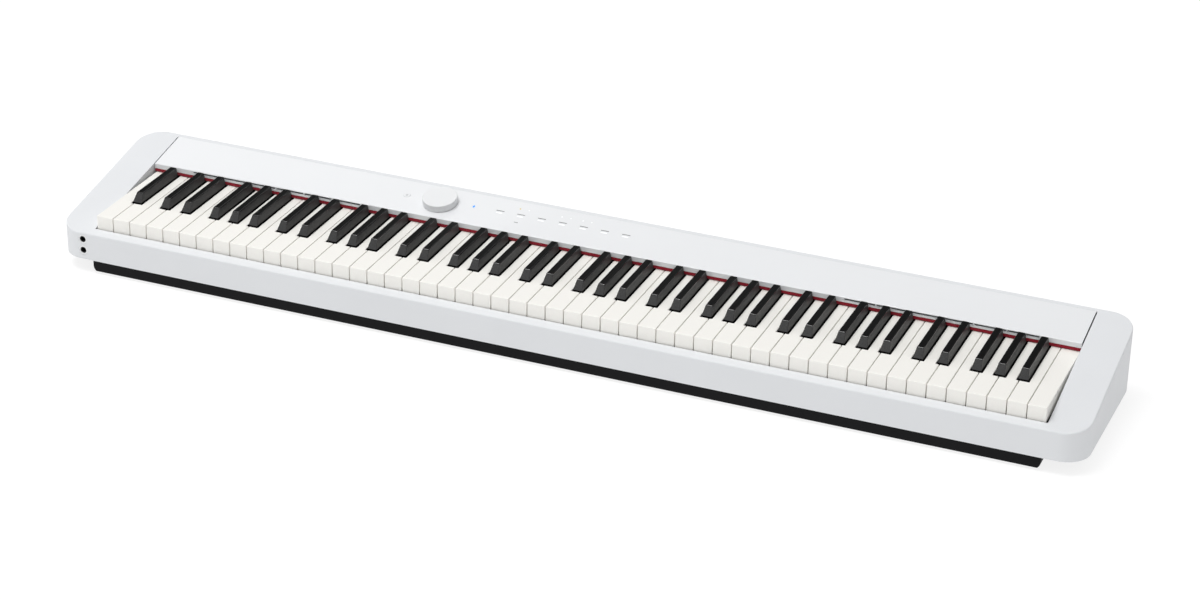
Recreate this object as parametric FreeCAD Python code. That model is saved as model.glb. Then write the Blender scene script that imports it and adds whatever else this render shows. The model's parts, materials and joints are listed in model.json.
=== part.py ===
"""Slim 88-key digital piano: case, keys, hammer action, controls, boards, speakers and jacks.

Frame: +X to the right along the keyboard, +Y to the back, +Z up. The origin is the centre of the
footprint, on the surface that the rubber feet stand on. All sizes are in millimetres.
Shapes that belong to the sloping control panel are drawn flat (x, distance up the slope, height
above the panel's face) and then laid on the slope by on_slope().
"""
import FreeCAD, Part
import math
import os
from FreeCAD import Vector

# ---- overall case -------------------------------------------------------------------------
CASE_DEPTH = 232.0
CASE_CORNER_R = 32.0
CASE_FRONT_Z = 54.3          # height of the top face at its front edge
SLOPE = 0.196121             # rise of the top face for each unit of depth
SHELL_EDGE_FRONT_Z = 17.7    # lower edge of the white shell, front
SHELL_EDGE_REAR_Z = 12.8     # lower edge of the white shell, rear
SHELL_WALL = 3.0
INNER_WALL = 2.5
TOP_EDGE_R = 1.2             # rounding of the shell's upper outer edge
CHEEK_WIDTH = 48.0           # end block beside the keys
KEYBED_END_GAP = 2.0         # between the last key's pitch and the cheek
RAIL_DEPTH = 12.8            # front rail before the keys
REAR_RIM = 6.0               # strip of shell behind the panel
CHEEK_WALL_Z = 40.0          # lower end of the cheeks' and the rail's inner walls

# ---- black lower case ---------------------------------------------------------------------
FOOT_HEIGHT = 2.0            # gap under the lower case that the feet make
BASE_WALL = 2.5
BASE_SETBACK = 1.4           # lower case behind the shell's outer face, front and rear
BASE_END_INSET = 1.5         # pan's ends inside the cheeks' inner faces
BASE_LAP_CLEARANCE = 0.4     # lower case inside the shell's wall
BASE_END_R = 9.0             # rounding of the pan's ends, seen from the front
BASE_CHAMFER = 3.0
BASE_RISE = 1.8
FLANGE_Z = 19.0              # underside of the plate that closes the cheeks from below
FLANGE_THICKNESS = 2.5
EDGE_GAP = 0.3               # between the shell's lower edge and the lower case

# ---- control panel ------------------------------------------------------------------------
PANEL_THICKNESS = 2.5
PANEL_SEAM = 0.2             # gap round the panel in the shell's opening
FALLBOARD_RISE = 4.9         # lower edge of the wall behind the keys, above their tops
FALLBOARD_WALL = 2.4
LEDGE_WIDTH = 6.0
LEDGE_THICKNESS = 2.0
SLOT_RISE = 2.9              # lower side of the sound slots above the wall's lower edge
SLOT_HEIGHT = 2.4
SLOT_LENGTH = 238.0
SLOT_BRIDGE = 1.6            # plastic left between neighbouring slots
SLOT_CELLS = 6
GRILLE_THICKNESS = 1.0

# ---- place of the action in the case -------------------------------------------------------
# The keys, hammers and their frame have their own y, from a line behind the front rail's inner
# face, and their own z. place_action() moves them into the case.
ACTION_SETBACK = 103.2       # the action's y = 0 behind the front rail's inner face
ACTION_DROP = 54.3           # the action's z = 0 under the top face's front edge
KEY_REACH = 46.0             # front of the wall behind the keys, in the action's own y

# ---- keys ---------------------------------------------------------------------------------
WHITE_PITCH = 23.5
WHITE_GAP = 1.0
KEY_COUNT = 88
WHITE_COUNT = 52
KEY_TOP_Z = 74.5
KEY_SKIRT_Z = 55.2
KEY_FRONT_Y = -101.8
KEY_BACK_Y = 50.0
KEY_WALL = 1.6
KEY_ROOF = 2.2
BLACK_WIDTH = 13.5
BLACK_FRUSTUM_WIDTH = 12.6
BLACK_TOP_WIDTH = 8.3
BLACK_HEIGHT = 11.8
BLACK_FRONT_Y = -49.5
BLACK_TOP_FRONT_Y = -40.5
BLACK_BACK_Y = 44.8
BLACK_SKIRT_Z = 57.2
BLACK_CLEARANCE = 1.0        # beside and in front of a black key
KEY_TAIL_WIDTH = 10.0
KEY_TAIL_Z = (51.0, 61.0)
KEY_TAIL_LAP = 14.0          # tail under the key's back end
KEY_TAIL_END = 6.0           # tail behind the pivot's centre
KEY_PIVOT_Y = 98.0
KEY_PIVOT_Z = 56.0
KEY_ROD_R = 2.5
PIVOT_CLEARANCE = 0.05

# ---- hammers ------------------------------------------------------------------------------
HAMMER_PIVOT_Y = -8.0
HAMMER_PIVOT_Z = 30.0
HAMMER_ROD_R = 2.0
HAMMER_THICKNESS = 8.0
HAMMER_NOSE_Y = -48.0
HAMMER_NOSE_TOP = 4.0        # flat top of the nose above the pivot
HAMMER_NOSE_HEIGHT = 5.0
HAMMER_HUB_BELOW = 4.0
HAMMER_WEIGHT_Y = (52.0, 86.0)
HAMMER_WEIGHT_Z = (11.6, 24.0)
HAMMER_NECK = 8.0            # height of the arm where it meets the weight
TAB_Y = -40.0                # where a key presses its hammer
TAB_LENGTH = 4.0
TAB_WIDTH = 6.0
TAB_CLEARANCE = 0.8
CONTACT_RIB_Y = 17.0
CONTACT_RIB_LENGTH = 4.0
CONTACT_RIB_DROP = 0.8

# ---- action frame -------------------------------------------------------------------------
FRAME_END_GAP = 7.0          # between the action's ends and the cheeks
FRAME_SHEET_Z = (7.0, 9.0)
FRAME_Y = (-98.0, 104.5)
FRAME_UPRIGHT = 3.0
FRAME_SHELF_Z = (40.0, 42.0)
FRAME_SHELF_BACK_Y = -76.0
WEB_THICKNESS = 2.0
WEB_FRONT_Y = -18.0
WEB_LOW_Z = 38.0
WEB_STEP_Y = 56.0
WEB_MID_Z = 50.0
WEB_POST_Y = 90.0
WEB_TOP_Z = 62.0
BOARD_SHELF_Y = (4.0, 30.0)
BOARD_THICKNESS = 1.6
RUBBER_BASE = 1.4
DOME_HEIGHT = 6.6
DOME_WIDTH = 8.0
DOME_LENGTH = 10.0
GUIDE_WIDTH = 5.0
GUIDE_Y = (-95.0, -89.0)
GUIDE_HEIGHT = 18.0
STOP_FELT_Y = (-86.0, -78.0)
STOP_FELT_HEIGHT = 3.6
REST_FELT_Y = (62.0, 84.0)
REST_FELT_CLEARANCE = 0.4
STOP_BAR_Y = (64.0, 78.0)
STOP_BAR_HEIGHT = 2.0
STOP_BAR_FELT = 2.0
STOP_BAR_Z = 43.4            # underside of the hammers' stop felt
RED_FELT_DEPTH = 2.4
RED_FELT_KEY_CLEARANCE = 0.7

# ---- fasteners, feet, inserts -------------------------------------------------------------
SCREW_R = 1.35
SCREW_HEAD_R = 2.5
SCREW_HEAD_H = 1.5
SCREW_FIT = 0.05
SCREW_PASS = 0.35            # extra radius of a hole that a screw passes
BOSS_R = 3.1
CHEEK_BOSS_R = 4.0
SCREW_BITE = 12.0            # length of thread in an upper boss
PILOT_FLOOR = 0.5            # plastic left under the frame screws' pilot holes
CHEEK_SCREW_END = 23.0       # cheek screws from the case's ends
CHEEK_SCREW_INSET = 41.0     # outer cheek screws from the front and the rear
EDGE_SCREW_INSET = 6.7       # edge screws from the front and the rear
FRONT_SCREW_END = 161.0      # outer front screws from the case's ends
FRONT_SCREW_COUNT = 5
REAR_SCREW_END = 101.0       # outer rear screws from the case's ends
REAR_SCREW_X = (-280.0, 200.0)
FRAME_SCREW_Y = (-62.0, 40.0)
FRAME_BOSS_R = 4.0
RIB_Y = (-84.0, -36.0, 8.0, 56.0)
RIB_THICKNESS = 2.0
FOOT_R = 9.0
FOOT_RECESS = 1.0
FOOT_END = 101.0             # outer feet from the case's ends
FOOT_MIDDLE_X = 190.0
FOOT_INSET = 28.0            # feet from the front and the rear
INSERT_END = 181.0           # stand inserts from the case's ends
INSERT_FRONT = 41.0          # front stand inserts from the front
INSERT_REAR = 21.0           # rear stand inserts from the rear
INSERT_R = 4.5
INSERT_HOLE_R = 2.5          # tapping size of an M6 thread
INSERT_LENGTH = 12.0
INSERT_BOSS_R = 7.5
INSERT_RECESS = 0.2

# ---- controls: (x, distance behind the panel's front edge) seen from above -----------------
KNOB_PLACE = (-220.5, 31.7)
KNOB_R = 22.2
KNOB_HEIGHT = 9.0
KNOB_GAP = 0.4
KNOB_EDGE_R = 0.8
SHAFT_BITE = 6.23            # length of the shaft inside the knob
SHAFT_R = 3.0
SHAFT_HOLE_R = 4.0
POT_SIZE = 17.0
POT_HEIGHT = 5.8
POT_FLOOR = 2.1              # lower end of the shaft above the control board
POWER_PLACE = (-267.8, 33.9)
POWER_R = 4.6
POWER_GAP = 0.3
POWER_PROUD = 0.8
POWER_TRAVEL = 1.2
SWITCH_SIZE = 8.0
SWITCH_GAP = 0.3             # under the button when it is pressed
LAMP_PLACE = (-176.5, 36.5)
LAMP_R = 1.6
TOUCH_BEHIND = 38.0
TOUCH_X0 = -140.8
TOUCH_PITCH = 28.2
TOUCH_COUNT = 7
TOUCH_PAD = (12.0, 9.0)
LED_BEHIND = 49.2
LED_X = (-118.5, -106.5, -62.0, -50.0, -33.6, -22.0)
LED_R = 1.0
CONTROL_BOARD_X = (-292.0, 62.0)
CONTROL_BOARD_BEHIND = 13.1  # up the slope from the panel's front edge
CONTROL_BOARD_WIDTH = 46.0
CONTROL_BOARD_DROP = 8.6     # component face of the board under the panel's face
LED_BODY = (3.0, 2.0, 2.4)

# ---- speakers -----------------------------------------------------------------------------
SPEAKER_END = (224.5, 219.0)  # centres from the left and the right end of the case
SPEAKER_LENGTH = 128.0
SPEAKER_WIDTH = 50.0
SPEAKER_BEHIND = 34.1        # centre of the speaker up the slope from the panel's front edge
SPEAKER_DROP = 9.0           # face of the speaker's flange under the panel's face
SPEAKER_FLANGE = 2.0
SPEAKER_CORNER = 14.0
CONE_DEPTH = 8.0
CONE_THICKNESS = 0.8
MAGNET_R = 15.0
MAGNET_HEIGHT = 5.0
SPEAKER_POST_R = 3.0
SPEAKER_SCREW_INSET = 5.0
BASKET_INSET = 8.0           # basket inside the flange's edge
BASKET_WALL = 1.5
BASKET_FLOOR = 2.0
FLANGE_CORNER = 4.0
CONE_GAP = 1.0               # cone from the basket's wall, and its edge under the flange's face
CONE_FLOOR_GAP = 1.5
CONE_FLOOR_SHARE = 0.5       # length of the cone's floor as a share of its mouth

# ---- jacks --------------------------------------------------------------------------------
PHONE_END = 36.5             # headphone sockets from the left end of the case
PHONE_Z = (45.2, 30.2)
PLUG_R = 3.2                 # bore for a 6.35 mm plug
PHONE_BORE = 28.8
PHONE_BODY = (13.0, 28.0, 12.0)
BEZEL_R = 6.3
BEZEL_HOLE_R = 4.3
JACK_NOSE_R = 4.2
JACK_SETBACK = 1.2           # nose behind the outer face
JACK_WALL_GAP = 0.3
PHONE_BOARD = (16.0, 32.0)
MAIN_BOARD_X = (-112.0, 162.0)
MAIN_BOARD_FRONT = 16.0      # behind the panel's front edge
MAIN_BOARD_REAR = 4.0        # in front of the case's rear face
MAIN_BOARD_CLEARANCE = 5.0   # board above the keys' tails
BRACKET_WIDTH = 10.0
BRACKET_DEPTH = 13.0
BRACKET_HEIGHT = 3.0
CHIPS = ((-60.0, 22.0, 20.0, 20.0, 1.6), (-90.0, 22.0, 12.0, 8.0, 1.2),
         (100.0, 12.0, 26.0, 14.0, 6.0))  # x, behind the board's front edge, length, width, height
CAN_X = (-30.0, -18.0, 125.0, 137.0)
CAN_BEHIND = 10.0
CAN_R = 4.0
CAN_HEIGHT = 9.0
RIBBON_X = (20.0, 50.0)
RIBBON_BEHIND = 3.0
RIBBON_THICKNESS = 0.8
RIBBON_GAP = 0.3
REAR_JACK_RISE = 9.0         # rear sockets' centres above the main board
DC_X = 130.0
DC_BORE_R = 2.75
DC_BORE = 9.5
DC_BODY = (9.0, 14.0, 11.0)
USB_X = 90.0
USB_BODY = (12.0, 16.0, 11.0)
USB_MOUTH = (8.5, 7.8)
USB_DEPTH = 12.0
AUDIO_X = 50.0
AUDIO_BORE_R = 1.8
AUDIO_BORE = 15.0
AUDIO_BODY = (9.0, 16.0, 8.0)
PEDAL_X = 0.0
PEDAL_BODY = (13.0, 28.0, 12.0)
REAR_HOLE_GAP = 0.3

# ---- notes of the octave: white place, or the white gap a black key sits over -----------------
WHITE_NOTES = {"c": 0, "d": 1, "e": 2, "f": 3, "g": 4, "a": 5, "b": 6}
BLACK_NOTES = {"c_sharp": (1, -3.0), "d_sharp": (2, 3.0), "f_sharp": (4, -4.0),
               "g_sharp": (5, 0.0), "a_sharp": (6, 4.0)}
NOTE_ORDER = ("c", "c_sharp", "d", "d_sharp", "e", "f", "f_sharp", "g", "g_sharp", "a",
              "a_sharp", "b")
FIRST_KEY = 9                # the lowest key is the A of octave 0
WHITES_PER_OCTAVE = 7
FIRST_C_WHITES = -5          # the C of octave 0 would lie five whites left of the lowest key

# ---- worked out from the sizes above ------------------------------------------------------
OPENING_X = WHITE_PITCH * WHITE_COUNT / 2 + KEYBED_END_GAP
HALF_LENGTH = OPENING_X + CHEEK_WIDTH
HALF_DEPTH = CASE_DEPTH / 2
CASE_REAR_Z = CASE_FRONT_Z + SLOPE * CASE_DEPTH
SLOPE_DEG = math.degrees(math.atan(SLOPE))
SLOPE_COS = math.cos(math.atan(SLOPE))
SLOPE_MID_Z = (CASE_REAR_Z + CASE_FRONT_Z) / 2
OPENING_FRONT_Y = -HALF_DEPTH + RAIL_DEPTH
OPENING_REAR_Y = HALF_DEPTH - REAR_RIM
ACTION_Y = OPENING_FRONT_Y + ACTION_SETBACK
ACTION_Z = CASE_FRONT_Z - ACTION_DROP
FRAME_HALF_LENGTH = OPENING_X - FRAME_END_GAP
PANEL_FRONT_Y = ACTION_Y + KEY_REACH
FALLBOARD_Z = ACTION_Z + KEY_TOP_Z + FALLBOARD_RISE
SLOT_Z = (FALLBOARD_Z + SLOT_RISE, FALLBOARD_Z + SLOT_RISE + SLOT_HEIGHT)
SPEAKER_X = (SPEAKER_END[0] - HALF_LENGTH, HALF_LENGTH - SPEAKER_END[1])
PHONE_X = PHONE_END - HALF_LENGTH
MAIN_BOARD_Z = ACTION_Z + KEY_TAIL_Z[1] + MAIN_BOARD_CLEARANCE
REAR_JACK_Z = MAIN_BOARD_Z + REAR_JACK_RISE
MAIN_BOARD_Y = (PANEL_FRONT_Y + MAIN_BOARD_FRONT, HALF_DEPTH - MAIN_BOARD_REAR)
KNOB_XY = (KNOB_PLACE[0], PANEL_FRONT_Y + KNOB_PLACE[1])
POWER_XY = (POWER_PLACE[0], PANEL_FRONT_Y + POWER_PLACE[1])
LAMP_XY = (LAMP_PLACE[0], PANEL_FRONT_Y + LAMP_PLACE[1])
TOUCH_Y = PANEL_FRONT_Y + TOUCH_BEHIND
LED_Y = PANEL_FRONT_Y + LED_BEHIND
WHITE_LEFT_X = -WHITE_PITCH * WHITE_COUNT / 2
BASE_HALF_X = OPENING_X - BASE_END_INSET
BASE_HALF_Y = HALF_DEPTH - BASE_SETBACK
LAP_HALF_Y = HALF_DEPTH - SHELL_WALL - BASE_LAP_CLEARANCE
FLANGE_TOP_Z = FLANGE_Z + FLANGE_THICKNESS
BASE_FLOOR_Z = FOOT_HEIGHT + BASE_WALL
TAB_Z = HAMMER_PIVOT_Z + HAMMER_NOSE_TOP + TAB_CLEARANCE
SPEAKER_UP = PANEL_FRONT_Y / SLOPE_COS + SPEAKER_BEHIND
CONTROL_BOARD_LOW = PANEL_FRONT_Y / SLOPE_COS + CONTROL_BOARD_BEHIND
CONTROL_BOARD_UP = (CONTROL_BOARD_LOW, CONTROL_BOARD_LOW + CONTROL_BOARD_WIDTH)
FAR = 400.0                  # longer than any section that a cutting solid has to pass


# ---- plain shapes -------------------------------------------------------------------------
def box(x_range, y_range, z_range):
    """A block between two x, two y and two z values."""
    size = [high - low for low, high in (x_range, y_range, z_range)]
    return Part.makeBox(size[0], size[1], size[2], Vector(x_range[0], y_range[0], z_range[0]))


def around(centre, size):
    """The (low, high) range of one size about its centre."""
    return (centre - size / 2, centre + size / 2)


def cylinder(radius, height, base, direction):
    """A round bar of the given length from base along direction."""
    return Part.makeCylinder(radius, height, Vector(*base), Vector(*direction))


def prism_x(points, x_range):
    """A side-view outline of (y, z) points carried along X."""
    wire = Part.makePolygon([Vector(x_range[0], y, z) for y, z in points + points[:1]])
    return Part.Face(wire).extrude(Vector(x_range[1] - x_range[0], 0, 0))


def prism_z(points, z_range):
    """A plan outline of (x, y) points carried up Z."""
    wire = Part.makePolygon([Vector(x, y, z_range[0]) for x, y in points + points[:1]])
    return Part.Face(wire).extrude(Vector(0, 0, z_range[1] - z_range[0]))


def rounded_plate(x_range, y_range, corner, z_range):
    """A block whose four upright edges are rounded to the corner radius."""
    block = box(x_range, y_range, z_range)
    upright = [edge for edge in block.Edges
               if abs(edge.Vertexes[0].Z - edge.Vertexes[1].Z) > (z_range[1] - z_range[0]) / 2]
    return block.makeFillet(corner, upright)


def frustum(low_x, low_y, low_z, high_x, high_y, high_z):
    """A closed solid with six flat faces between a lower and an upper rectangle."""
    low = [Vector(low_x[i], low_y[j], low_z) for i, j in ((0, 0), (1, 0), (1, 1), (0, 1))]
    high = [Vector(high_x[i], high_y[j], high_z) for i, j in ((0, 0), (1, 0), (1, 1), (0, 1))]
    rings = [low[::-1], high]
    rings += [[low[i], low[(i + 1) % 4], high[(i + 1) % 4], high[i]] for i in range(4)]
    faces = [Part.Face(Part.makePolygon(ring + ring[:1])) for ring in rings]
    return Part.Solid(Part.Shell(faces))


def joined(shapes):
    """One shape from several that touch or overlap, with its shared faces tidied away."""
    if len(shapes) == 1:
        return shapes[0]
    return shapes[0].multiFuse(shapes[1:]).removeSplitter()


def without(shape, tools):
    """The shape less every tool."""
    return shape.cut(Part.makeCompound(tools))


def on_slope(shape):
    """Lay a shape drawn flat, with the panel's face at height 0, on the sloping top."""
    laid = shape.copy()
    laid.rotate(Vector(0, 0, 0), Vector(1, 0, 0), SLOPE_DEG)
    laid.translate(Vector(0, 0, SLOPE_MID_Z))
    return laid


def up_slope(y):
    """Distance up the slope of the top face's point at depth y."""
    return y / SLOPE_COS


def top_z(y):
    """Height of the sloping top face at depth y."""
    return SLOPE_MID_Z + SLOPE * y


def shell_edge_z(y):
    """Height of the white shell's lower edge at depth y."""
    share = (y + HALF_DEPTH) / CASE_DEPTH
    return SHELL_EDGE_FRONT_Z + share * (SHELL_EDGE_REAR_Z - SHELL_EDGE_FRONT_Z)


# ---- places of the keys -------------------------------------------------------------------
def octave_x(octave):
    """Left edge of the octave's C."""
    return WHITE_LEFT_X + WHITE_PITCH * (FIRST_C_WHITES + WHITES_PER_OCTAVE * octave)


def black_centre(note, octave):
    """Centre of a black key: the line between two whites plus its offset."""
    whites, offset = BLACK_NOTES[note]
    return octave_x(octave) + WHITE_PITCH * whites + offset


def neighbours(note):
    """The black notes to the left and right of a white note, or None."""
    place = NOTE_ORDER.index(note)
    beside = [NOTE_ORDER[(place + step) % len(NOTE_ORDER)] for step in (-1, 1)]
    return [name if name in BLACK_NOTES else None for name in beside]


def stem_range(note, octave, ends=(True, True)):
    """Left and right side of a white key between the black keys that ends says are there."""
    left = octave_x(octave) + WHITE_PITCH * WHITE_NOTES[note] + WHITE_GAP / 2
    right = left + WHITE_PITCH - WHITE_GAP
    half_slot = BLACK_WIDTH / 2 + BLACK_CLEARANCE
    beside = neighbours(note)
    if beside[0] and ends[0]:
        left = black_centre(beside[0], octave) + half_slot
    if beside[1] and ends[1]:
        right = black_centre(beside[1], octave) - half_slot
    return left, right


def tail_x(note, octave):
    """Centre line of a key's tail, which its hammer shares."""
    if note in BLACK_NOTES:
        return black_centre(note, octave)
    return sum(stem_range(note, octave)) / 2


def places(note):
    """Each octave of a note on the keyboard, with whether it has keys on its left and right."""
    order = NOTE_ORDER.index(note)
    found = []
    for number in range(FIRST_KEY, FIRST_KEY + KEY_COUNT):
        if number % len(NOTE_ORDER) == order:
            ends = (number > FIRST_KEY, number < FIRST_KEY + KEY_COUNT - 1)
            found.append((number // len(NOTE_ORDER), ends))
    return found


def all_tails():
    """Centre line of every key's tail, left to right."""
    return sorted(tail_x(note, octave) for note in NOTE_ORDER for octave, _ in places(note))


# ---- keys and hammers ---------------------------------------------------------------------
def key_fittings(centre):
    """The tail, the tab that works the hammer and the rib that works the contacts."""
    roof_z = KEY_TOP_Z - KEY_ROOF
    tail = box(around(centre, KEY_TAIL_WIDTH),
               (KEY_BACK_Y - KEY_TAIL_LAP, KEY_PIVOT_Y + KEY_TAIL_END), KEY_TAIL_Z)
    tab = box(around(centre, TAB_WIDTH), around(TAB_Y, TAB_LENGTH), (TAB_Z, roof_z + KEY_ROOF / 2))
    rib = box(around(centre, TAB_WIDTH), around(CONTACT_RIB_Y, CONTACT_RIB_LENGTH),
              (KEY_SKIRT_Z - CONTACT_RIB_DROP, roof_z + KEY_ROOF / 2))
    return [tail, tab, rib]


def pivot_bore(centre):
    """The hole in a tail for the key rod."""
    start = (centre - KEY_TAIL_WIDTH, KEY_PIVOT_Y, KEY_PIVOT_Z)
    return cylinder(KEY_ROD_R + PIVOT_CLEARANCE, 2 * KEY_TAIL_WIDTH, start, (1, 0, 0))


def white_outline(head, stem, inset):
    """Plan of a white key's head and stem, drawn in by a wall's thickness."""
    notch_y = BLACK_FRONT_Y - BLACK_CLEARANCE - inset
    front_y = KEY_FRONT_Y + inset
    back_y = KEY_BACK_Y - inset
    left, right = head[0] + inset, head[1] - inset
    stem_left, stem_right = stem[0] + inset, stem[1] - inset
    points = [(left, front_y), (right, front_y)]
    if stem_right < right:
        points += [(right, notch_y), (stem_right, notch_y)]
    points += [(stem_right, back_y), (stem_left, back_y)]
    if stem_left > left:
        points += [(stem_left, notch_y), (left, notch_y)]
    return points


def white_key(note, octave, ends):
    """A white key: hollow head and stem, with its tail, tab and rib."""
    left = octave_x(octave) + WHITE_PITCH * WHITE_NOTES[note] + WHITE_GAP / 2
    head = (left, left + WHITE_PITCH - WHITE_GAP)
    stem = stem_range(note, octave, ends)
    centre = tail_x(note, octave)
    body = prism_z(white_outline(head, stem, 0.0), (KEY_SKIRT_Z, KEY_TOP_Z))
    hollow = prism_z(white_outline(head, stem, KEY_WALL), (KEY_SKIRT_Z, KEY_TOP_Z - KEY_ROOF))
    return joined([body.cut(hollow)] + key_fittings(centre)).cut(pivot_bore(centre))


def black_key(note, octave):
    """A black key: hollow body under a tapered top, with its tail, tab and rib."""
    centre = black_centre(note, octave)
    body = box(around(centre, BLACK_WIDTH), (BLACK_FRONT_Y, KEY_BACK_Y),
               (BLACK_SKIRT_Z, KEY_TOP_Z))
    hollow = box(around(centre, BLACK_WIDTH - 2 * KEY_WALL),
                 (BLACK_FRONT_Y + KEY_WALL, KEY_BACK_Y - KEY_WALL),
                 (BLACK_SKIRT_Z, KEY_TOP_Z - KEY_ROOF))
    foot = (BLACK_WIDTH - BLACK_FRUSTUM_WIDTH) / 2
    top = frustum(around(centre, BLACK_FRUSTUM_WIDTH), (BLACK_FRONT_Y + foot, BLACK_BACK_Y),
                  KEY_TOP_Z, around(centre, BLACK_TOP_WIDTH), (BLACK_TOP_FRONT_Y, BLACK_BACK_Y),
                  KEY_TOP_Z + BLACK_HEIGHT)
    parts = [body.cut(hollow), top] + key_fittings(centre)
    return joined(parts).cut(pivot_bore(centre))


def key_group(note):
    """Every key of one note name, each its own solid."""
    if note in BLACK_NOTES:
        return [black_key(note, octave) for octave, _ in places(note)]
    return [white_key(note, octave, ends) for octave, ends in places(note)]


def hammer(centre):
    """A weighted lever: nose in front of its pivot, long arm and weight behind."""
    nose_top = HAMMER_PIVOT_Z + HAMMER_NOSE_TOP
    hub_low = HAMMER_PIVOT_Z - HAMMER_HUB_BELOW
    weight_low, weight_top = HAMMER_WEIGHT_Z
    weight_front, weight_back = HAMMER_WEIGHT_Y
    outline = [(HAMMER_NOSE_Y, nose_top - HAMMER_NOSE_HEIGHT), (HAMMER_NOSE_Y, nose_top),
               (HAMMER_PIVOT_Y + HAMMER_HUB_BELOW, nose_top), (weight_front, weight_top),
               (weight_back, weight_top), (weight_back, weight_low), (weight_front, weight_low),
               (weight_front, weight_top - HAMMER_NECK),
               (HAMMER_PIVOT_Y + HAMMER_HUB_BELOW, hub_low),
               (HAMMER_PIVOT_Y - HAMMER_HUB_BELOW, hub_low)]
    lever = prism_x(outline, around(centre, HAMMER_THICKNESS))
    start = (centre - HAMMER_THICKNESS, HAMMER_PIVOT_Y, HAMMER_PIVOT_Z)
    bore = cylinder(HAMMER_ROD_R + PIVOT_CLEARANCE, 2 * HAMMER_THICKNESS, start, (1, 0, 0))
    return lever.cut(bore)


def hammer_group(note):
    """The hammers of one note name."""
    return [hammer(tail_x(note, octave)) for octave, _ in places(note)]


# ---- action frame and what sits on it ------------------------------------------------------
def frame_x():
    """The length that the action's sheet, rods, bars and felts share."""
    return (-FRAME_HALF_LENGTH, FRAME_HALF_LENGTH)


def web_places():
    """Centre of each upright web: one in the widest gap of each octave and one at each end."""
    gaps = [(tail_x("d", octave) + tail_x("d_sharp", octave)) / 2 for octave, _ in places("d")]
    end = FRAME_HALF_LENGTH - WEB_THICKNESS / 2
    return [-end] + gaps + [end]


def web(centre):
    """One upright web that holds both rods and the hammers' stop bar."""
    outline = [(WEB_FRONT_Y, FRAME_SHEET_Z[0]), (FRAME_Y[1], FRAME_SHEET_Z[0]),
               (FRAME_Y[1], WEB_TOP_Z), (WEB_POST_Y, WEB_TOP_Z), (WEB_POST_Y, WEB_MID_Z),
               (WEB_STEP_Y, WEB_MID_Z), (WEB_STEP_Y, WEB_LOW_Z), (WEB_FRONT_Y, WEB_LOW_Z)]
    return prism_x(outline, around(centre, WEB_THICKNESS))


def rod(radius, y, z):
    """A steel rod along the whole action."""
    return cylinder(radius, 2 * FRAME_HALF_LENGTH, (-FRAME_HALF_LENGTH, y, z), (1, 0, 0))


def insert_places():
    """Centre of each threaded insert under the case."""
    end = HALF_LENGTH - INSERT_END
    return [(x, y) for x in (-end, end)
            for y in (INSERT_FRONT - HALF_DEPTH, HALF_DEPTH - INSERT_REAR)]


def frame_screw_places():
    """Centre of each screw that holds the action frame down, midway between two webs."""
    webs = web_places()
    middles = [(left + right) / 2 for left, right in zip(webs, webs[1:])]
    return [(x, y) for x in middles for y in FRAME_SCREW_Y]


def action_felts():
    """The felts that stop the keys, and the hammers above and below."""
    webs = [web(x) for x in web_places()]
    shelf = FRAME_SHELF_Z[1]
    keys = box(frame_x(), STOP_FELT_Y, (shelf, shelf + STOP_FELT_HEIGHT))
    above = box(frame_x(), STOP_BAR_Y, (STOP_BAR_Z, STOP_BAR_Z + STOP_BAR_FELT))
    rest_top = HAMMER_WEIGHT_Z[0] - REST_FELT_CLEARANCE
    below = without(box(frame_x(), REST_FELT_Y, (FRAME_SHEET_Z[1], rest_top)), webs)
    return [keys, above] + below.Solids


def key_guides():
    """A post inside the head of each white key, which keeps it from swaying."""
    base = FRAME_SHELF_Z[0]
    top = FRAME_SHELF_Z[1] + GUIDE_HEIGHT
    centres = [WHITE_LEFT_X + WHITE_PITCH * (place + 0.5) for place in range(WHITE_COUNT)]
    return [box(around(x, GUIDE_WIDTH), GUIDE_Y, (base, top)) for x in centres]


def key_frame():
    """The moulded frame that carries keys, hammers, contacts and felts."""
    low, high = FRAME_SHEET_Z
    sheet = box(frame_x(), FRAME_Y, FRAME_SHEET_Z)
    upright = box(frame_x(), (FRAME_Y[0], FRAME_Y[0] + FRAME_UPRIGHT), (low, FRAME_SHELF_Z[1]))
    shelf = box(frame_x(), (FRAME_Y[0], FRAME_SHELF_BACK_Y), FRAME_SHELF_Z)
    board_shelf = box(frame_x(), BOARD_SHELF_Y, (WEB_LOW_Z, FRAME_SHELF_Z[0]))
    body = joined([sheet, upright, shelf, board_shelf] + [web(x) for x in web_places()]
                  + key_guides())
    bar = box(frame_x(), STOP_BAR_Y, (STOP_BAR_Z, STOP_BAR_Z + STOP_BAR_FELT + STOP_BAR_HEIGHT))
    holes = [bar, rod(KEY_ROD_R + SCREW_FIT, KEY_PIVOT_Y, KEY_PIVOT_Z),
             rod(HAMMER_ROD_R + SCREW_FIT, HAMMER_PIVOT_Y, HAMMER_PIVOT_Z)]
    span = high - low + 2
    holes += [cylinder(INSERT_BOSS_R + SCREW_PASS * 2, span, (x, y - ACTION_Y, low - 1), (0, 0, 1))
              for x, y in insert_places()]
    holes += [cylinder(SCREW_R + SCREW_PASS, span, (x, y, low - 1), (0, 0, 1))
              for x, y in frame_screw_places()]
    holes += [box(around(x, 2 * BOSS_R + 2), (FRAME_Y[1] - 1, FRAME_Y[1] + 1), (low - 1, WEB_TOP_Z))
              for x in rear_screw_x()]
    return without(body, holes)


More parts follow.
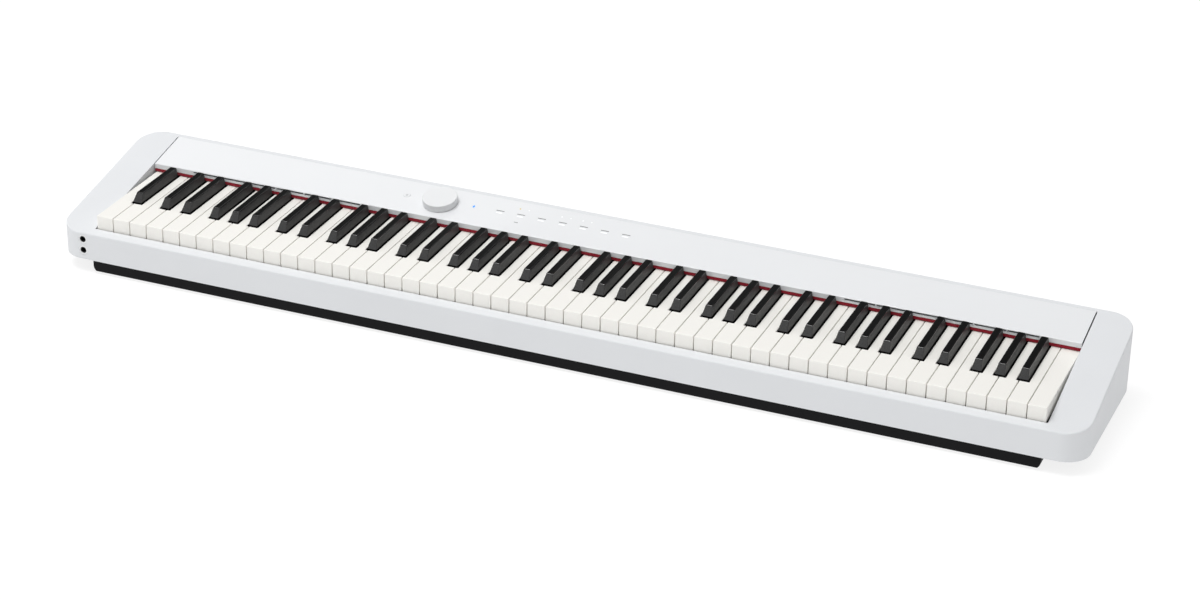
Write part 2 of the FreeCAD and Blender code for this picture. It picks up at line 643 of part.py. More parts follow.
def rubber_contacts():
    """A rubber strip with one dome under each key's rib."""
    floor = FRAME_SHELF_Z[0] + BOARD_THICKNESS
    strip_y = around(CONTACT_RIB_Y, DOME_LENGTH + 6)
    strip = box(frame_x(), strip_y, (floor, floor + RUBBER_BASE))
    domes = [box(around(x, DOME_WIDTH), around(CONTACT_RIB_Y, DOME_LENGTH),
                 (floor + RUBBER_BASE, floor + RUBBER_BASE + DOME_HEIGHT)) for x in all_tails()]
    return joined([strip] + domes)


def red_felt():
    """The felt strip along the lower edge of the wall behind the keys."""
    front = PANEL_FRONT_Y
    reach = OPENING_X - PANEL_SEAM
    return box((-reach, reach), (front, front + RED_FELT_DEPTH),
               (ACTION_Z + KEY_TOP_Z + RED_FELT_KEY_CLEARANCE, FALLBOARD_Z))


# ---- shell --------------------------------------------------------------------------------
def case_profile(inset, low):
    """Side view of the shell, with its top drawn in by inset and its lower edge where low says."""
    drop = inset / SLOPE_COS
    front, rear = -HALF_DEPTH, HALF_DEPTH
    return [(front, low(front)), (rear, low(rear)), (rear, top_z(rear) - drop),
            (front, top_z(front) - drop)]


def shell_solid(inset, low):
    """The shell's rounded plan cut to its side view, drawn in by inset."""
    plan = rounded_plate((-HALF_LENGTH + inset, HALF_LENGTH - inset),
                         (-HALF_DEPTH + inset, HALF_DEPTH - inset),
                         CASE_CORNER_R - inset, (0, CASE_REAR_Z))
    return plan.common(prism_x(case_profile(inset, low), (-HALF_LENGTH, HALF_LENGTH)))


def round_top_edge(solid):
    """Round the shell's upper outer edge."""
    def on_top(edge):
        return all(abs(point.z - top_z(point.y)) < 0.01 for point in edge.discretize(5))
    return solid.makeFillet(TOP_EDGE_R, [edge for edge in solid.Edges if on_top(edge)])


def cheek_screw_places():
    """Centre of each screw in the cheeks."""
    end = HALF_LENGTH - CHEEK_SCREW_END
    reach = HALF_DEPTH - CHEEK_SCREW_INSET
    return [(x, y) for x in (-end, end) for y in (-reach, 0.0, reach)]


def rear_screw_x():
    """Place along the case of each screw in its rear edge."""
    end = HALF_LENGTH - REAR_SCREW_END
    return (-end,) + REAR_SCREW_X + (end,)


def edge_screw_places():
    """Centre of each screw along the front and rear edges."""
    reach_x = HALF_LENGTH - FRONT_SCREW_END
    reach_y = HALF_DEPTH - EDGE_SCREW_INSET
    step = 2 * reach_x / (FRONT_SCREW_COUNT - 1)
    front = [(step * place - reach_x, -reach_y) for place in range(FRONT_SCREW_COUNT)]
    return front + [(x, reach_y) for x in rear_screw_x()]


def upper_bosses():
    """Round bosses inside the shell, from the lower case's plate up to the top skin."""
    height = CASE_REAR_Z
    bosses = [cylinder(CHEEK_BOSS_R, height, (x, y, FLANGE_TOP_Z), (0, 0, 1))
              for x, y in cheek_screw_places()]
    bosses += [cylinder(BOSS_R, height, (x, y, FLANGE_TOP_Z), (0, 0, 1))
               for x, y in edge_screw_places()]
    return bosses


def panel_ledges():
    """Ledges that the panel rests on, along the cheeks and the rear rim."""
    low = -PANEL_THICKNESS - LEDGE_THICKNESS
    front = up_slope(PANEL_FRONT_Y + FALLBOARD_WALL + RED_FELT_DEPTH)
    rear = up_slope(OPENING_REAR_Y)
    heights = (low, -PANEL_THICKNESS)
    lap = OPENING_X + INNER_WALL / 2
    left = box((-lap, -OPENING_X + LEDGE_WIDTH), (front, rear), heights)
    right = box((OPENING_X - LEDGE_WIDTH, lap), (front, rear), heights)
    back = box((-lap, lap), (rear - LEDGE_WIDTH, rear + REAR_RIM / 2), heights)
    return [on_slope(shape) for shape in (left, right, back)]


def upper_case():
    """The white shell: front rail, both cheeks and rear rim in one moulding."""
    outside = round_top_edge(shell_solid(0.0, shell_edge_z))
    shell = outside.cut(shell_solid(SHELL_WALL, lambda y: 0.0))
    opening = box((-OPENING_X, OPENING_X), (OPENING_FRONT_Y, OPENING_REAR_Y), (0, CASE_REAR_Z + 1))
    shell = shell.cut(opening)
    inside = HALF_DEPTH - SHELL_WALL / 2
    room = prism_x(case_profile(PANEL_THICKNESS, lambda y: 0.0), (-HALF_LENGTH, HALF_LENGTH))
    height = (CHEEK_WALL_Z, CASE_REAR_Z)
    far_x = OPENING_X + INNER_WALL
    walls = [box((-far_x, -OPENING_X), (-inside, inside), height),
             box((OPENING_X, far_x), (-inside, inside), height),
             box((-far_x, far_x), (OPENING_FRONT_Y - INNER_WALL, OPENING_FRONT_Y), height)]
    posts = [shape.common(room) for shape in walls + upper_bosses()]
    brackets = [box(around(x, BRACKET_WIDTH), (inside - BRACKET_DEPTH, inside),
                    (MAIN_BOARD_Z - BRACKET_HEIGHT, MAIN_BOARD_Z))
                for x in (MAIN_BOARD_X[0] + BRACKET_WIDTH, MAIN_BOARD_X[1] - BRACKET_WIDTH)]
    body = joined([shell] + posts + panel_ledges() + brackets)
    pilots = [cylinder(SCREW_R + SCREW_FIT, SCREW_BITE + 1, (x, y, FLANGE_TOP_Z - 1), (0, 0, 1))
              for x, y in cheek_screw_places() + edge_screw_places()]
    mouths = [cylinder(BEZEL_R + SCREW_FIT, SHELL_WALL + 2, (PHONE_X, -HALF_DEPTH - 1, z), (0, 1, 0))
              for z in PHONE_Z]
    return without(body, pilots + mouths + rear_holes())


def rear_holes():
    """Holes in the rear wall that clear each socket's nose."""
    start = HALF_DEPTH + 1
    span = SHELL_WALL + 2
    sockets = [(DC_X, DC_BODY[2] / 2), (PEDAL_X, JACK_NOSE_R), (AUDIO_X, AUDIO_BODY[2] / 2 - 1)]
    holes = [cylinder(radius + REAR_HOLE_GAP, span, (x, start, REAR_JACK_Z), (0, -1, 0))
             for x, radius in sockets]
    holes.append(box(around(USB_X, USB_BODY[0] + 2 * REAR_HOLE_GAP),
                     (start - span, start), around(REAR_JACK_Z, USB_BODY[2] + 2 * REAR_HOLE_GAP)))
    return holes


# ---- lower case ---------------------------------------------------------------------------
def pan(half_y, inset, low, high):
    """The pan's block with round ends and a sloped lower edge, drawn in by inset."""
    half_x = BASE_HALF_X - inset
    radius = BASE_END_R - inset
    block = box((-half_x, half_x), (-half_y, half_y), (low, high))
    ends = [edge for edge in block.Edges
            if abs(edge.BoundBox.ZMax - low) < 0.01 and edge.BoundBox.XLength < 0.01]
    block = block.makeFillet(radius, ends)
    outline = [(-half_y, high), (-half_y, low + BASE_RISE), (-half_y + BASE_CHAMFER, low),
               (half_y - BASE_CHAMFER, low), (half_y, low + BASE_RISE), (half_y, high)]
    return block.common(prism_x(outline, (-half_x, half_x)))


def base_outside():
    """Outside of the lower case: the pan, its skirt below the shell and the cheeks' plate."""
    front, rear = -HALF_DEPTH, HALF_DEPTH
    below = [(front, 0.0), (rear, 0.0), (rear, shell_edge_z(rear) - EDGE_GAP),
             (front, shell_edge_z(front) - EDGE_GAP)]
    skirt = pan(BASE_HALF_Y, 0.0, FOOT_HEIGHT, FLANGE_Z)
    skirt = skirt.common(prism_x(below, (-HALF_LENGTH, HALF_LENGTH)))
    inner = pan(LAP_HALF_Y, 0.0, FOOT_HEIGHT, FLANGE_TOP_Z)
    setback = SHELL_WALL + BASE_LAP_CLEARANCE
    plate = rounded_plate((-HALF_LENGTH + setback, HALF_LENGTH - setback),
                          (-LAP_HALF_Y, LAP_HALF_Y), CASE_CORNER_R - setback,
                          (FLANGE_Z, FLANGE_TOP_Z))
    return joined([inner, skirt, plate])


def base_fittings():
    """Columns, bosses and ribs inside the pan."""
    floor = FOOT_HEIGHT + BASE_WALL / 2
    sheet_low = ACTION_Z + FRAME_SHEET_Z[0]
    parts = [cylinder(BOSS_R, FLANGE_TOP_Z - floor, (x, y, floor), (0, 0, 1))
             for x, y in edge_screw_places()]
    parts += [cylinder(FRAME_BOSS_R, sheet_low - floor, (x, ACTION_Y + y, floor), (0, 0, 1))
              for x, y in frame_screw_places()]
    parts += [cylinder(INSERT_BOSS_R, INSERT_LENGTH + BASE_WALL / 2, (x, y, floor), (0, 0, 1))
              for x, y in insert_places()]
    ribs_x = (-BASE_HALF_X + BASE_END_R, BASE_HALF_X - BASE_END_R)
    parts += [box(ribs_x, around(y, RIB_THICKNESS), (floor, sheet_low - EDGE_GAP)) for y in RIB_Y]
    return parts


def lower_case():
    """The black tray under the keys, with plates that close the cheeks from below."""
    hollow = pan(LAP_HALF_Y - BASE_WALL, BASE_WALL, BASE_FLOOR_Z, FLANGE_TOP_Z + 1)
    body = joined([base_outside().cut(hollow)] + base_fittings())
    low = FOOT_HEIGHT - 1
    height = FLANGE_TOP_Z + 2
    passes = [cylinder(SCREW_R + SCREW_PASS, height, (x, y, low), (0, 0, 1))
              for x, y in cheek_screw_places() + edge_screw_places()]
    sinks = [cylinder(SCREW_HEAD_R + 2 * SCREW_FIT, SCREW_HEAD_H + 1.2, (x, y, low), (0, 0, 1))
             for x, y in edge_screw_places()]
    pilot_low = FOOT_HEIGHT + PILOT_FLOOR
    pilots = [cylinder(SCREW_R + SCREW_FIT, ACTION_Z + FRAME_SHEET_Z[0] - pilot_low,
                       (x, ACTION_Y + y, pilot_low), (0, 0, 1)) for x, y in frame_screw_places()]
    inserts = [cylinder(INSERT_R, INSERT_LENGTH + 1.0 + INSERT_RECESS, (x, y, low), (0, 0, 1))
               for x, y in insert_places()]
    feet = [cylinder(FOOT_R + SCREW_FIT, FOOT_RECESS + 1, (x, y, low), (0, 0, 1))
            for x, y in foot_places()]
    return without(body, passes + sinks + pilots + inserts + feet)


def foot_places():
    """Centre of each rubber foot."""
    end = HALF_LENGTH - FOOT_END
    reach = HALF_DEPTH - FOOT_INSET
    return [(x, y) for x in (-end, -FOOT_MIDDLE_X, FOOT_MIDDLE_X, end) for y in (-reach, reach)]


def rubber_feet():
    """Round rubber feet, let into the lower case."""
    height = FOOT_HEIGHT + FOOT_RECESS
    return [cylinder(FOOT_R, height, (x, y, 0), (0, 0, 1)) for x, y in foot_places()]


def stand_inserts():
    """Threaded brass inserts that a stand is bolted to."""
    low = FOOT_HEIGHT + INSERT_RECESS
    inserts = []
    for x, y in insert_places():
        sleeve = cylinder(INSERT_R, INSERT_LENGTH, (x, y, low), (0, 0, 1))
        inserts.append(sleeve.cut(cylinder(INSERT_HOLE_R, INSERT_LENGTH, (x, y, low), (0, 0, 1))))
    return inserts


def screw(x, y, seat_z, length):
    """A pan-head screw whose head hangs under its seat and whose shank points up."""
    head = cylinder(SCREW_HEAD_R, SCREW_HEAD_H, (x, y, seat_z - SCREW_HEAD_H), (0, 0, 1))
    return joined([head, cylinder(SCREW_R, length, (x, y, seat_z), (0, 0, 1))])


def case_screws():
    """The screws that hold the lower case to the shell."""
    edge_seat = FOOT_HEIGHT + SCREW_HEAD_H + 0.2
    reach = FLANGE_TOP_Z + SCREW_BITE - 1
    screws = [screw(x, y, FLANGE_Z, reach - FLANGE_Z) for x, y in cheek_screw_places()]
    return screws + [screw(x, y, edge_seat, reach - edge_seat) for x, y in edge_screw_places()]


def frame_screws():
    """The screws that hold the action frame to the lower case, heads up."""
    top = FRAME_SHEET_Z[1]
    reach = ACTION_Z + top - FOOT_HEIGHT - 2 * PILOT_FLOOR
    screws = []
    for x, y in frame_screw_places():
        head = cylinder(SCREW_HEAD_R, SCREW_HEAD_H, (x, y, top), (0, 0, 1))
        screws.append(joined([head, cylinder(SCREW_R, reach, (x, y, top), (0, 0, -1))]))
    return screws


# ---- control panel ------------------------------------------------------------------------
def slot_ranges():
    """The (left, right) of the row of sound slots before each speaker."""
    return [around(x, SLOT_LENGTH) for x in SPEAKER_X]


def slot_cells(x_range):
    """The (left, right) of each sound slot, evenly divided along a range."""
    step = (x_range[1] - x_range[0] + SLOT_BRIDGE) / SLOT_CELLS
    return [(x_range[0] + step * i, x_range[0] + step * (i + 1) - SLOT_BRIDGE)
            for i in range(SLOT_CELLS)]


def speaker_screw_places():
    """Centre (x, up the slope) of each screw at a speaker's corners."""
    reach_x = SPEAKER_LENGTH / 2 - SPEAKER_SCREW_INSET
    reach_up = SPEAKER_WIDTH / 2 - SPEAKER_SCREW_INSET
    return [(x + side * reach_x, SPEAKER_UP + end * reach_up)
            for x in SPEAKER_X for side in (-1, 1) for end in (-1, 1)]


def flat_hole(radius, place):
    """A hole through the flat panel at a place given as x and y."""
    start = (place[0], up_slope(place[1]), -PANEL_THICKNESS - 1)
    return cylinder(radius, PANEL_THICKNESS + 2, start, (0, 0, 1))


def led_places():
    """Centre (x, y) of each small lamp."""
    return [(x, LED_Y) for x in LED_X]


def top_panel():
    """The glossy control panel with the wall behind the keys and the speakers' posts."""
    reach = OPENING_X - PANEL_SEAM
    edge = up_slope(PANEL_FRONT_Y)
    plate = box((-reach, reach), (edge, up_slope(OPENING_REAR_Y) + PANEL_THICKNESS),
                (-PANEL_THICKNESS, 0))
    post_height = SPEAKER_DROP - PANEL_THICKNESS + 0.5
    posts = [cylinder(SPEAKER_POST_R, post_height, (x, up, -SPEAKER_DROP), (0, 0, 1))
             for x, up in speaker_screw_places()]
    holes = [flat_hole(SHAFT_HOLE_R, KNOB_XY), flat_hole(POWER_R + POWER_GAP, POWER_XY),
             flat_hole(LAMP_R + SCREW_FIT, LAMP_XY)]
    holes += [flat_hole(LED_R + SCREW_FIT, place) for place in led_places()]
    holes += [cylinder(SCREW_R + SCREW_FIT, post_height - 1, (x, up, -SPEAKER_DROP), (0, 0, 1))
              for x, up in speaker_screw_places()]
    deck = on_slope(without(joined([plate] + posts), holes))
    wall_y = (PANEL_FRONT_Y, PANEL_FRONT_Y + FALLBOARD_WALL)
    wall = prism_x([(wall_y[0], FALLBOARD_Z), (wall_y[1], FALLBOARD_Z),
                    (wall_y[1], top_z(wall_y[1]) - PANEL_THICKNESS / 2),
                    (wall_y[0], top_z(wall_y[0]) - 0.01)], (-reach, reach))
    slots = [box(cell, (wall_y[0] - 1, wall_y[1] + 1), SLOT_Z)
             for x_range in slot_ranges() for cell in slot_cells(x_range)]
    length = (-HALF_LENGTH, HALF_LENGTH)
    rear_y = OPENING_REAR_Y - PANEL_SEAM
    ends = [box(length, (PANEL_FRONT_Y - FAR, PANEL_FRONT_Y), (0, FAR)),
            box(length, (rear_y, rear_y + FAR), (0, FAR))]
    return without(joined([wall, deck]), slots + ends)


def sound_grilles():
    """Woven strips behind the sound slots."""
    front = PANEL_FRONT_Y + FALLBOARD_WALL
    z_range = (SLOT_Z[0] - 1.5, SLOT_Z[1] - PANEL_THICKNESS + 1.5)
    return [box((x_range[0] - 2, x_range[1] + 2), (front, front + GRILLE_THICKNESS), z_range)
            for x_range in slot_ranges()]


def lenses(places_xy, radius):
    """Light pipes let into the panel, flush with its face."""
    return [on_slope(cylinder(radius, PANEL_THICKNESS, (x, up_slope(y), -PANEL_THICKNESS),
                              (0, 0, 1))) for x, y in places_xy]


def volume_knob():
    """A flat disc knob, bored for the shaft."""
    x, y = KNOB_XY
    base = (x, up_slope(y), KNOB_GAP)
    disc = cylinder(KNOB_R, KNOB_HEIGHT, base, (0, 0, 1))
    rim = [edge for edge in disc.Edges
           if abs(edge.BoundBox.ZMin - KNOB_GAP - KNOB_HEIGHT) < 0.01]
    disc = disc.makeFillet(KNOB_EDGE_R, rim)
    return on_slope(disc.cut(cylinder(SHAFT_R, SHAFT_BITE, base, (0, 0, 1))))


def volume_shaft():
    """The turning shaft from inside the potentiometer up into the knob."""
    x, y = KNOB_XY
    low = POT_FLOOR - CONTROL_BOARD_DROP
    return on_slope(cylinder(SHAFT_R, KNOB_GAP + SHAFT_BITE - low, (x, up_slope(y), low),
                             (0, 0, 1)))


def volume_pot():
    """The potentiometer on the control board, bored for its shaft."""
    x, y = KNOB_XY
    up = up_slope(y)
    low = -CONTROL_BOARD_DROP
    body = box(around(x, POT_SIZE), around(up, POT_SIZE), (low, low + POT_HEIGHT))
    bore = cylinder(SHAFT_R + PIVOT_CLEARANCE, POT_HEIGHT,
                    (x, up, low + POT_FLOOR - PIVOT_CLEARANCE), (0, 0, 1))
    return on_slope(body.cut(bore))


def power_button():
    """The round power button, with a stem down to its switch."""
    x, y = POWER_XY
    low = -PANEL_THICKNESS
    up = up_slope(y)
    cap = cylinder(POWER_R, PANEL_THICKNESS + POWER_PROUD, (x, up, low), (0, 0, 1))
    return on_slope(cap)


def power_switch():
    """The push switch under the power button, lower than the button's travel."""
    x, y = POWER_XY
    low = -CONTROL_BOARD_DROP
    top = -PANEL_THICKNESS - POWER_TRAVEL - SWITCH_GAP
    return on_slope(box(around(x, SWITCH_SIZE), around(up_slope(y), SWITCH_SIZE), (low, top)))


def control_board():
    """The circuit board under the control panel."""
    top = -CONTROL_BOARD_DROP
    return on_slope(box(CONTROL_BOARD_X, CONTROL_BOARD_UP, (top - BOARD_THICKNESS, top)))


def touch_pads():
    """Conductive foam blocks between the control board and the panel, one per touch key."""
    centres = [TOUCH_X0 + TOUCH_PITCH * place for place in range(TOUCH_COUNT)]
    heights = (-CONTROL_BOARD_DROP, -PANEL_THICKNESS)
    return [on_slope(box(around(x, TOUCH_PAD[0]), around(up_slope(TOUCH_Y), TOUCH_PAD[1]),
                         heights)) for x in centres]


def status_leds():
    """Light-emitting diodes on the control board, one under each light pipe."""
    low = -CONTROL_BOARD_DROP
    return [on_slope(box(around(x, LED_BODY[0]), around(up_slope(y), LED_BODY[1]),
                         (low, low + LED_BODY[2]))) for x, y in led_places() + [LAMP_XY]]


# ---- speakers -----------------------------------------------------------------------------
def speaker_plate(shrink, z_range, x):
    """A rounded oblong at a speaker's place, drawn in by shrink."""
    return rounded_plate(around(x, SPEAKER_LENGTH - 2 * shrink),
                         around(SPEAKER_UP, SPEAKER_WIDTH - 2 * shrink),
                         SPEAKER_CORNER, z_range)


def speaker_frames():
    """Each speaker's flange and basket, open at the front."""
    frames = []
    for x in SPEAKER_X:
        top = -SPEAKER_DROP
        flange = rounded_plate(around(x, SPEAKER_LENGTH), around(SPEAKER_UP, SPEAKER_WIDTH),
                               FLANGE_CORNER, (top - SPEAKER_FLANGE, top))
        basket = speaker_plate(BASKET_INSET,
                               (top - CONE_DEPTH - BASKET_FLOOR, top - SPEAKER_FLANGE), x)
        hollow = speaker_plate(BASKET_INSET + BASKET_WALL, (top - CONE_DEPTH, top), x)
        body = joined([flange, basket]).cut(hollow)
        holes = [cylinder(SCREW_R + SCREW_PASS, SPEAKER_FLANGE + 2,
                          (sx, up, top - SPEAKER_FLANGE - 1), (0, 0, 1))
                 for sx, up in speaker_screw_places() if abs(sx - x) < SPEAKER_LENGTH]
        frames.append(on_slope(without(body, holes)))
    return frames


def speaker_cones():
    """A shallow paper cone in each basket."""
    cones = []
    for x in SPEAKER_X:
        inset = BASKET_INSET + BASKET_WALL + CONE_GAP
        top = -SPEAKER_DROP - CONE_GAP
        low = top - CONE_DEPTH + CONE_GAP + CONE_FLOOR_GAP
        mouth = (SPEAKER_LENGTH - 2 * inset, SPEAKER_WIDTH - 2 * inset)
        floor = [size * CONE_FLOOR_SHARE for size in mouth]
        outer = frustum(around(x, floor[0]), around(SPEAKER_UP, floor[1]), low,
                        around(x, mouth[0]), around(SPEAKER_UP, mouth[1]), top)
        inner = outer.copy()
        inner.translate(Vector(0, 0, CONE_THICKNESS))
        rounded = speaker_plate(inset, (low, top), x)
        cones.append(on_slope(outer.cut(inner).common(rounded)))
    return cones


def speaker_magnets():
    """A round magnet behind each basket."""
    low = -SPEAKER_DROP - CONE_DEPTH - BASKET_FLOOR - MAGNET_HEIGHT
    return [on_slope(cylinder(MAGNET_R, MAGNET_HEIGHT, (x, SPEAKER_UP, low), (0, 0, 1)))
            for x in SPEAKER_X]


def speaker_screws():
    """The screws that hold the speakers to the panel's posts."""
    seat = -SPEAKER_DROP - SPEAKER_FLANGE
    return [on_slope(screw(x, up, seat, SPEAKER_FLANGE + 4)) for x, up in speaker_screw_places()]


# ---- jacks and boards ---------------------------------------------------------------------
def front_jack(z):
    """A headphone socket behind the front wall, with its nose in the bezel."""
    width, depth, height = PHONE_BODY
    face = -HALF_DEPTH + SHELL_WALL
    body = box(around(PHONE_X, width), (face + JACK_WALL_GAP, face + depth), around(z, height))
    nose_y = -HALF_DEPTH + JACK_SETBACK
    nose = cylinder(JACK_NOSE_R, face - nose_y + 1.0, (PHONE_X, nose_y, z), (0, 1, 0))
    bore = cylinder(PLUG_R, PHONE_BORE, (PHONE_X, nose_y, z), (0, 1, 0))
    return joined([body, nose]).cut(bore)


def front_bezel(z):
    """The white ring round a headphone socket, flush with the front face."""
    start = (PHONE_X, -HALF_DEPTH, z)
    ring = cylinder(BEZEL_R, SHELL_WALL, start, (0, 1, 0))
    return ring.cut(cylinder(BEZEL_HOLE_R, SHELL_WALL, start, (0, 1, 0)))


def phone_board():
    """The small board behind the headphone sockets."""
    y = -HALF_DEPTH + SHELL_WALL + PHONE_BODY[1]
    width, height = PHONE_BOARD
    return box(around(PHONE_X, width), (y, y + BOARD_THICKNESS), around(sum(PHONE_Z) / 2, height))


def rear_socket(x, size, nose_radius, bore_radius, bore_length):
    """A socket on the main board whose nose stands in the rear wall's hole."""
    width, depth, height = size
    board_top = MAIN_BOARD_Z + BOARD_THICKNESS
    face = HALF_DEPTH - SHELL_WALL - SCREW_FIT
    body = box(around(x, width), (face - depth, face), (board_top, REAR_JACK_Z + height / 2))
    nose_y = HALF_DEPTH - JACK_SETBACK
    nose = cylinder(nose_radius, nose_y - face + 0.5, (x, nose_y, REAR_JACK_Z), (0, -1, 0))
    bore = cylinder(bore_radius, bore_length, (x, nose_y, REAR_JACK_Z), (0, -1, 0))
    return joined([body, nose]).cut(bore)


def dc_inlet():
    """The power inlet."""
    return rear_socket(DC_X, DC_BODY, DC_BODY[2] / 2 - 0.5, DC_BORE_R, DC_BORE)


def pedal_jack():
    """The damper pedal's socket."""
    return rear_socket(PEDAL_X, PEDAL_BODY, JACK_NOSE_R, PLUG_R, PHONE_BORE)


def audio_jack():
    """The small audio input socket."""
    return rear_socket(AUDIO_X, AUDIO_BODY, AUDIO_BODY[2] / 2 - 1, AUDIO_BORE_R, AUDIO_BORE)


def usb_port():
    """The square data port."""
    width, depth, height = USB_BODY
    nose_y = HALF_DEPTH - JACK_SETBACK
    board_top = MAIN_BOARD_Z + BOARD_THICKNESS
    body = box(around(USB_X, width), (nose_y - depth, nose_y),
               (board_top, REAR_JACK_Z + height / 2))
    shoulder = box(around(USB_X, width + 2), (HALF_DEPTH - SHELL_WALL, HALF_DEPTH),
                   (board_top - 1, REAR_JACK_Z - height / 2))
    mouth = box(around(USB_X, USB_MOUTH[0]), (nose_y - USB_DEPTH, nose_y),
                around(REAR_JACK_Z, USB_MOUTH[1]))
    return body.cut(shoulder).cut(mouth)


def main_board():
    """The main circuit board, on brackets behind the keys' tails."""
    return box(MAIN_BOARD_X, MAIN_BOARD_Y, (MAIN_BOARD_Z, MAIN_BOARD_Z + BOARD_THICKNESS))


def board_chips():
    """The larger parts on the main board: processor, memory, amplifier and capacitors."""
    low = MAIN_BOARD_Z + BOARD_THICKNESS
    front = MAIN_BOARD_Y[0]
    chips = [box(around(x, length), around(front + behind, width), (low, low + height))
             for x, behind, length, width, height in CHIPS]
    cans = [cylinder(CAN_R, CAN_HEIGHT, (x, front + CAN_BEHIND, low), (0, 0, 1)) for x in CAN_X]
    return chips + cans


def panel_ribbon():
    """The flat ribbon cable between the control board and the main board."""
    low = MAIN_BOARD_Z + BOARD_THICKNESS
    y = MAIN_BOARD_Y[0] + RIBBON_BEHIND
    board_z = top_z(y) - (CONTROL_BOARD_DROP + BOARD_THICKNESS) / SLOPE_COS
    return box(RIBBON_X, (y, y + RIBBON_THICKNESS), (low, board_z - RIBBON_GAP))


# ---- every node ---------------------------------------------------------------------------
def place_action(solids):
    """Solids of the action, moved from its own frame to their place in the case."""
    placed = [solid.copy() for solid in solids]
    for solid in placed:
        solid.translate(Vector(0, ACTION_Y, ACTION_Z))
    return placed


def nodes():
    """Each node's name and its list of solids."""
    low = FRAME_SHELF_Z[0]
    bar_low = STOP_BAR_Z + STOP_BAR_FELT
    found = {
        "upper_case": [upper_case()],
        "top_panel": [top_panel()],
        "lower_case": [lower_case()],
        "key_frame": place_action([key_frame()]),
        "pivot_rods": place_action([rod(KEY_ROD_R, KEY_PIVOT_Y, KEY_PIVOT_Z),
                                    rod(HAMMER_ROD_R, HAMMER_PIVOT_Y, HAMMER_PIVOT_Z)]),
        "hammer_stop_bar": place_action([box(frame_x(), STOP_BAR_Y,
                                             (bar_low, bar_low + STOP_BAR_HEIGHT))]),
        "action_felts": place_action(action_felts()),
        "red_felt_strip": [red_felt()],
        "contact_board": place_action([box(frame_x(), BOARD_SHELF_Y,
                                           (low, low + BOARD_THICKNESS))]),
        "rubber_contacts": place_action([rubber_contacts()]),
        "rubber_feet": rubber_feet(),
        "stand_inserts": stand_inserts(),
        "case_screws": case_screws(),
        "inner_screws": place_action(frame_screws()) + speaker_screws(),
        "sound_grilles": sound_grilles(),
        "led_lenses": lenses(led_places(), LED_R),
        "power_lamp_lens": lenses([LAMP_XY], LAMP_R),
        "volume_knob": [volume_knob()],
        "volume_shaft": [volume_shaft()],
        "volume_pot": [volume_pot()],
        "power_button": [power_button()],
        "power_switch": [power_switch()],
        "control_board": [control_board()],
        "touch_pads": touch_pads(),
        "status_leds": status_leds(),
        "speaker_frames": speaker_frames(),
        "speaker_cones": speaker_cones(),
        "speaker_magnets": speaker_magnets(),
        "headphone_jacks": [front_jack(z) for z in PHONE_Z],
        "headphone_bezels": [front_bezel(z) for z in PHONE_Z],
        "headphone_board": [phone_board()],
        "main_board": [main_board()],
        "board_chips": board_chips(),
        "panel_ribbon": [panel_ribbon()],
        "rear_jacks": [pedal_jack(), audio_jack(), dc_inlet()],
        "usb_port": [usb_port()],
    }
    for note in NOTE_ORDER:
        found["keys_" + note] = place_action(key_group(note))
        found["hammers_" + note] = place_action(hammer_group(note))
    return found


def main():
    """Build every node and write one STEP file for each."""
    os.makedirs("parts", exist_ok=True)
    for name, solids in nodes().items():
        shape = solids[0] if len(solids) == 1 else Part.makeCompound(solids)
        shape.exportStep(os.path.join("parts", name + ".step"))
        count = len(shape.Solids)
        print(f"{name}: {count} solids, volume {shape.Volume / 1000:.1f} cm3, valid {shape.isValid()}")


main()
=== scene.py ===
"""Looks of a slim 88-key digital piano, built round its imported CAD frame.

All lengths are in metres, in the frame's own axes: +X right along the keys, +Y back, +Z up.
Every new surface is a grid of two parameters: one runs round an outline, the other along a
profile of (inset, height) rows. The studio comes first, then the finishes of the CAD nodes that
stay shown, then the case, the panel, the controls and the keys.
"""
import json
import logging
import math
import sys
from dataclasses import dataclass, field
from enum import Enum

import bpy
import numpy as np
from mathutils import Matrix, Vector


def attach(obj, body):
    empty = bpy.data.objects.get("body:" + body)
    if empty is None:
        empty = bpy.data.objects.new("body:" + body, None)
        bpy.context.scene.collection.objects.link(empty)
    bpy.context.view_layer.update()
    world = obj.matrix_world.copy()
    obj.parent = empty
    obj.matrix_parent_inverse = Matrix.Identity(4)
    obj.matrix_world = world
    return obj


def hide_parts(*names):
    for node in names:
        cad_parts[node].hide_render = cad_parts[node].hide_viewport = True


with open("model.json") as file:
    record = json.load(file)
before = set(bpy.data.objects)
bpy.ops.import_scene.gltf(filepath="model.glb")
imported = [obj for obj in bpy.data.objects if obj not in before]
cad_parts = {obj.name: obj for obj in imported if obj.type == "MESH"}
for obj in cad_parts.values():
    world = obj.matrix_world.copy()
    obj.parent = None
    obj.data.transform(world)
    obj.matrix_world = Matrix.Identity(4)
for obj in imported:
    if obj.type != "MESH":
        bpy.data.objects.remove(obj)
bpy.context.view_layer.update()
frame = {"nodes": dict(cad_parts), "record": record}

MM = 0.001
LOG = logging.getLogger("piano")


# ---------------------------------------------------------------------------------------------
# geometry helpers
# ---------------------------------------------------------------------------------------------
@dataclass
class Outline:
    """A closed outline: points, and the outward normal at each point."""

    points: np.ndarray
    normals: np.ndarray

    def inset(self, distance: float) -> np.ndarray:
        """Return the points moved inwards: P - distance * n."""
        return self.points - distance * self.normals


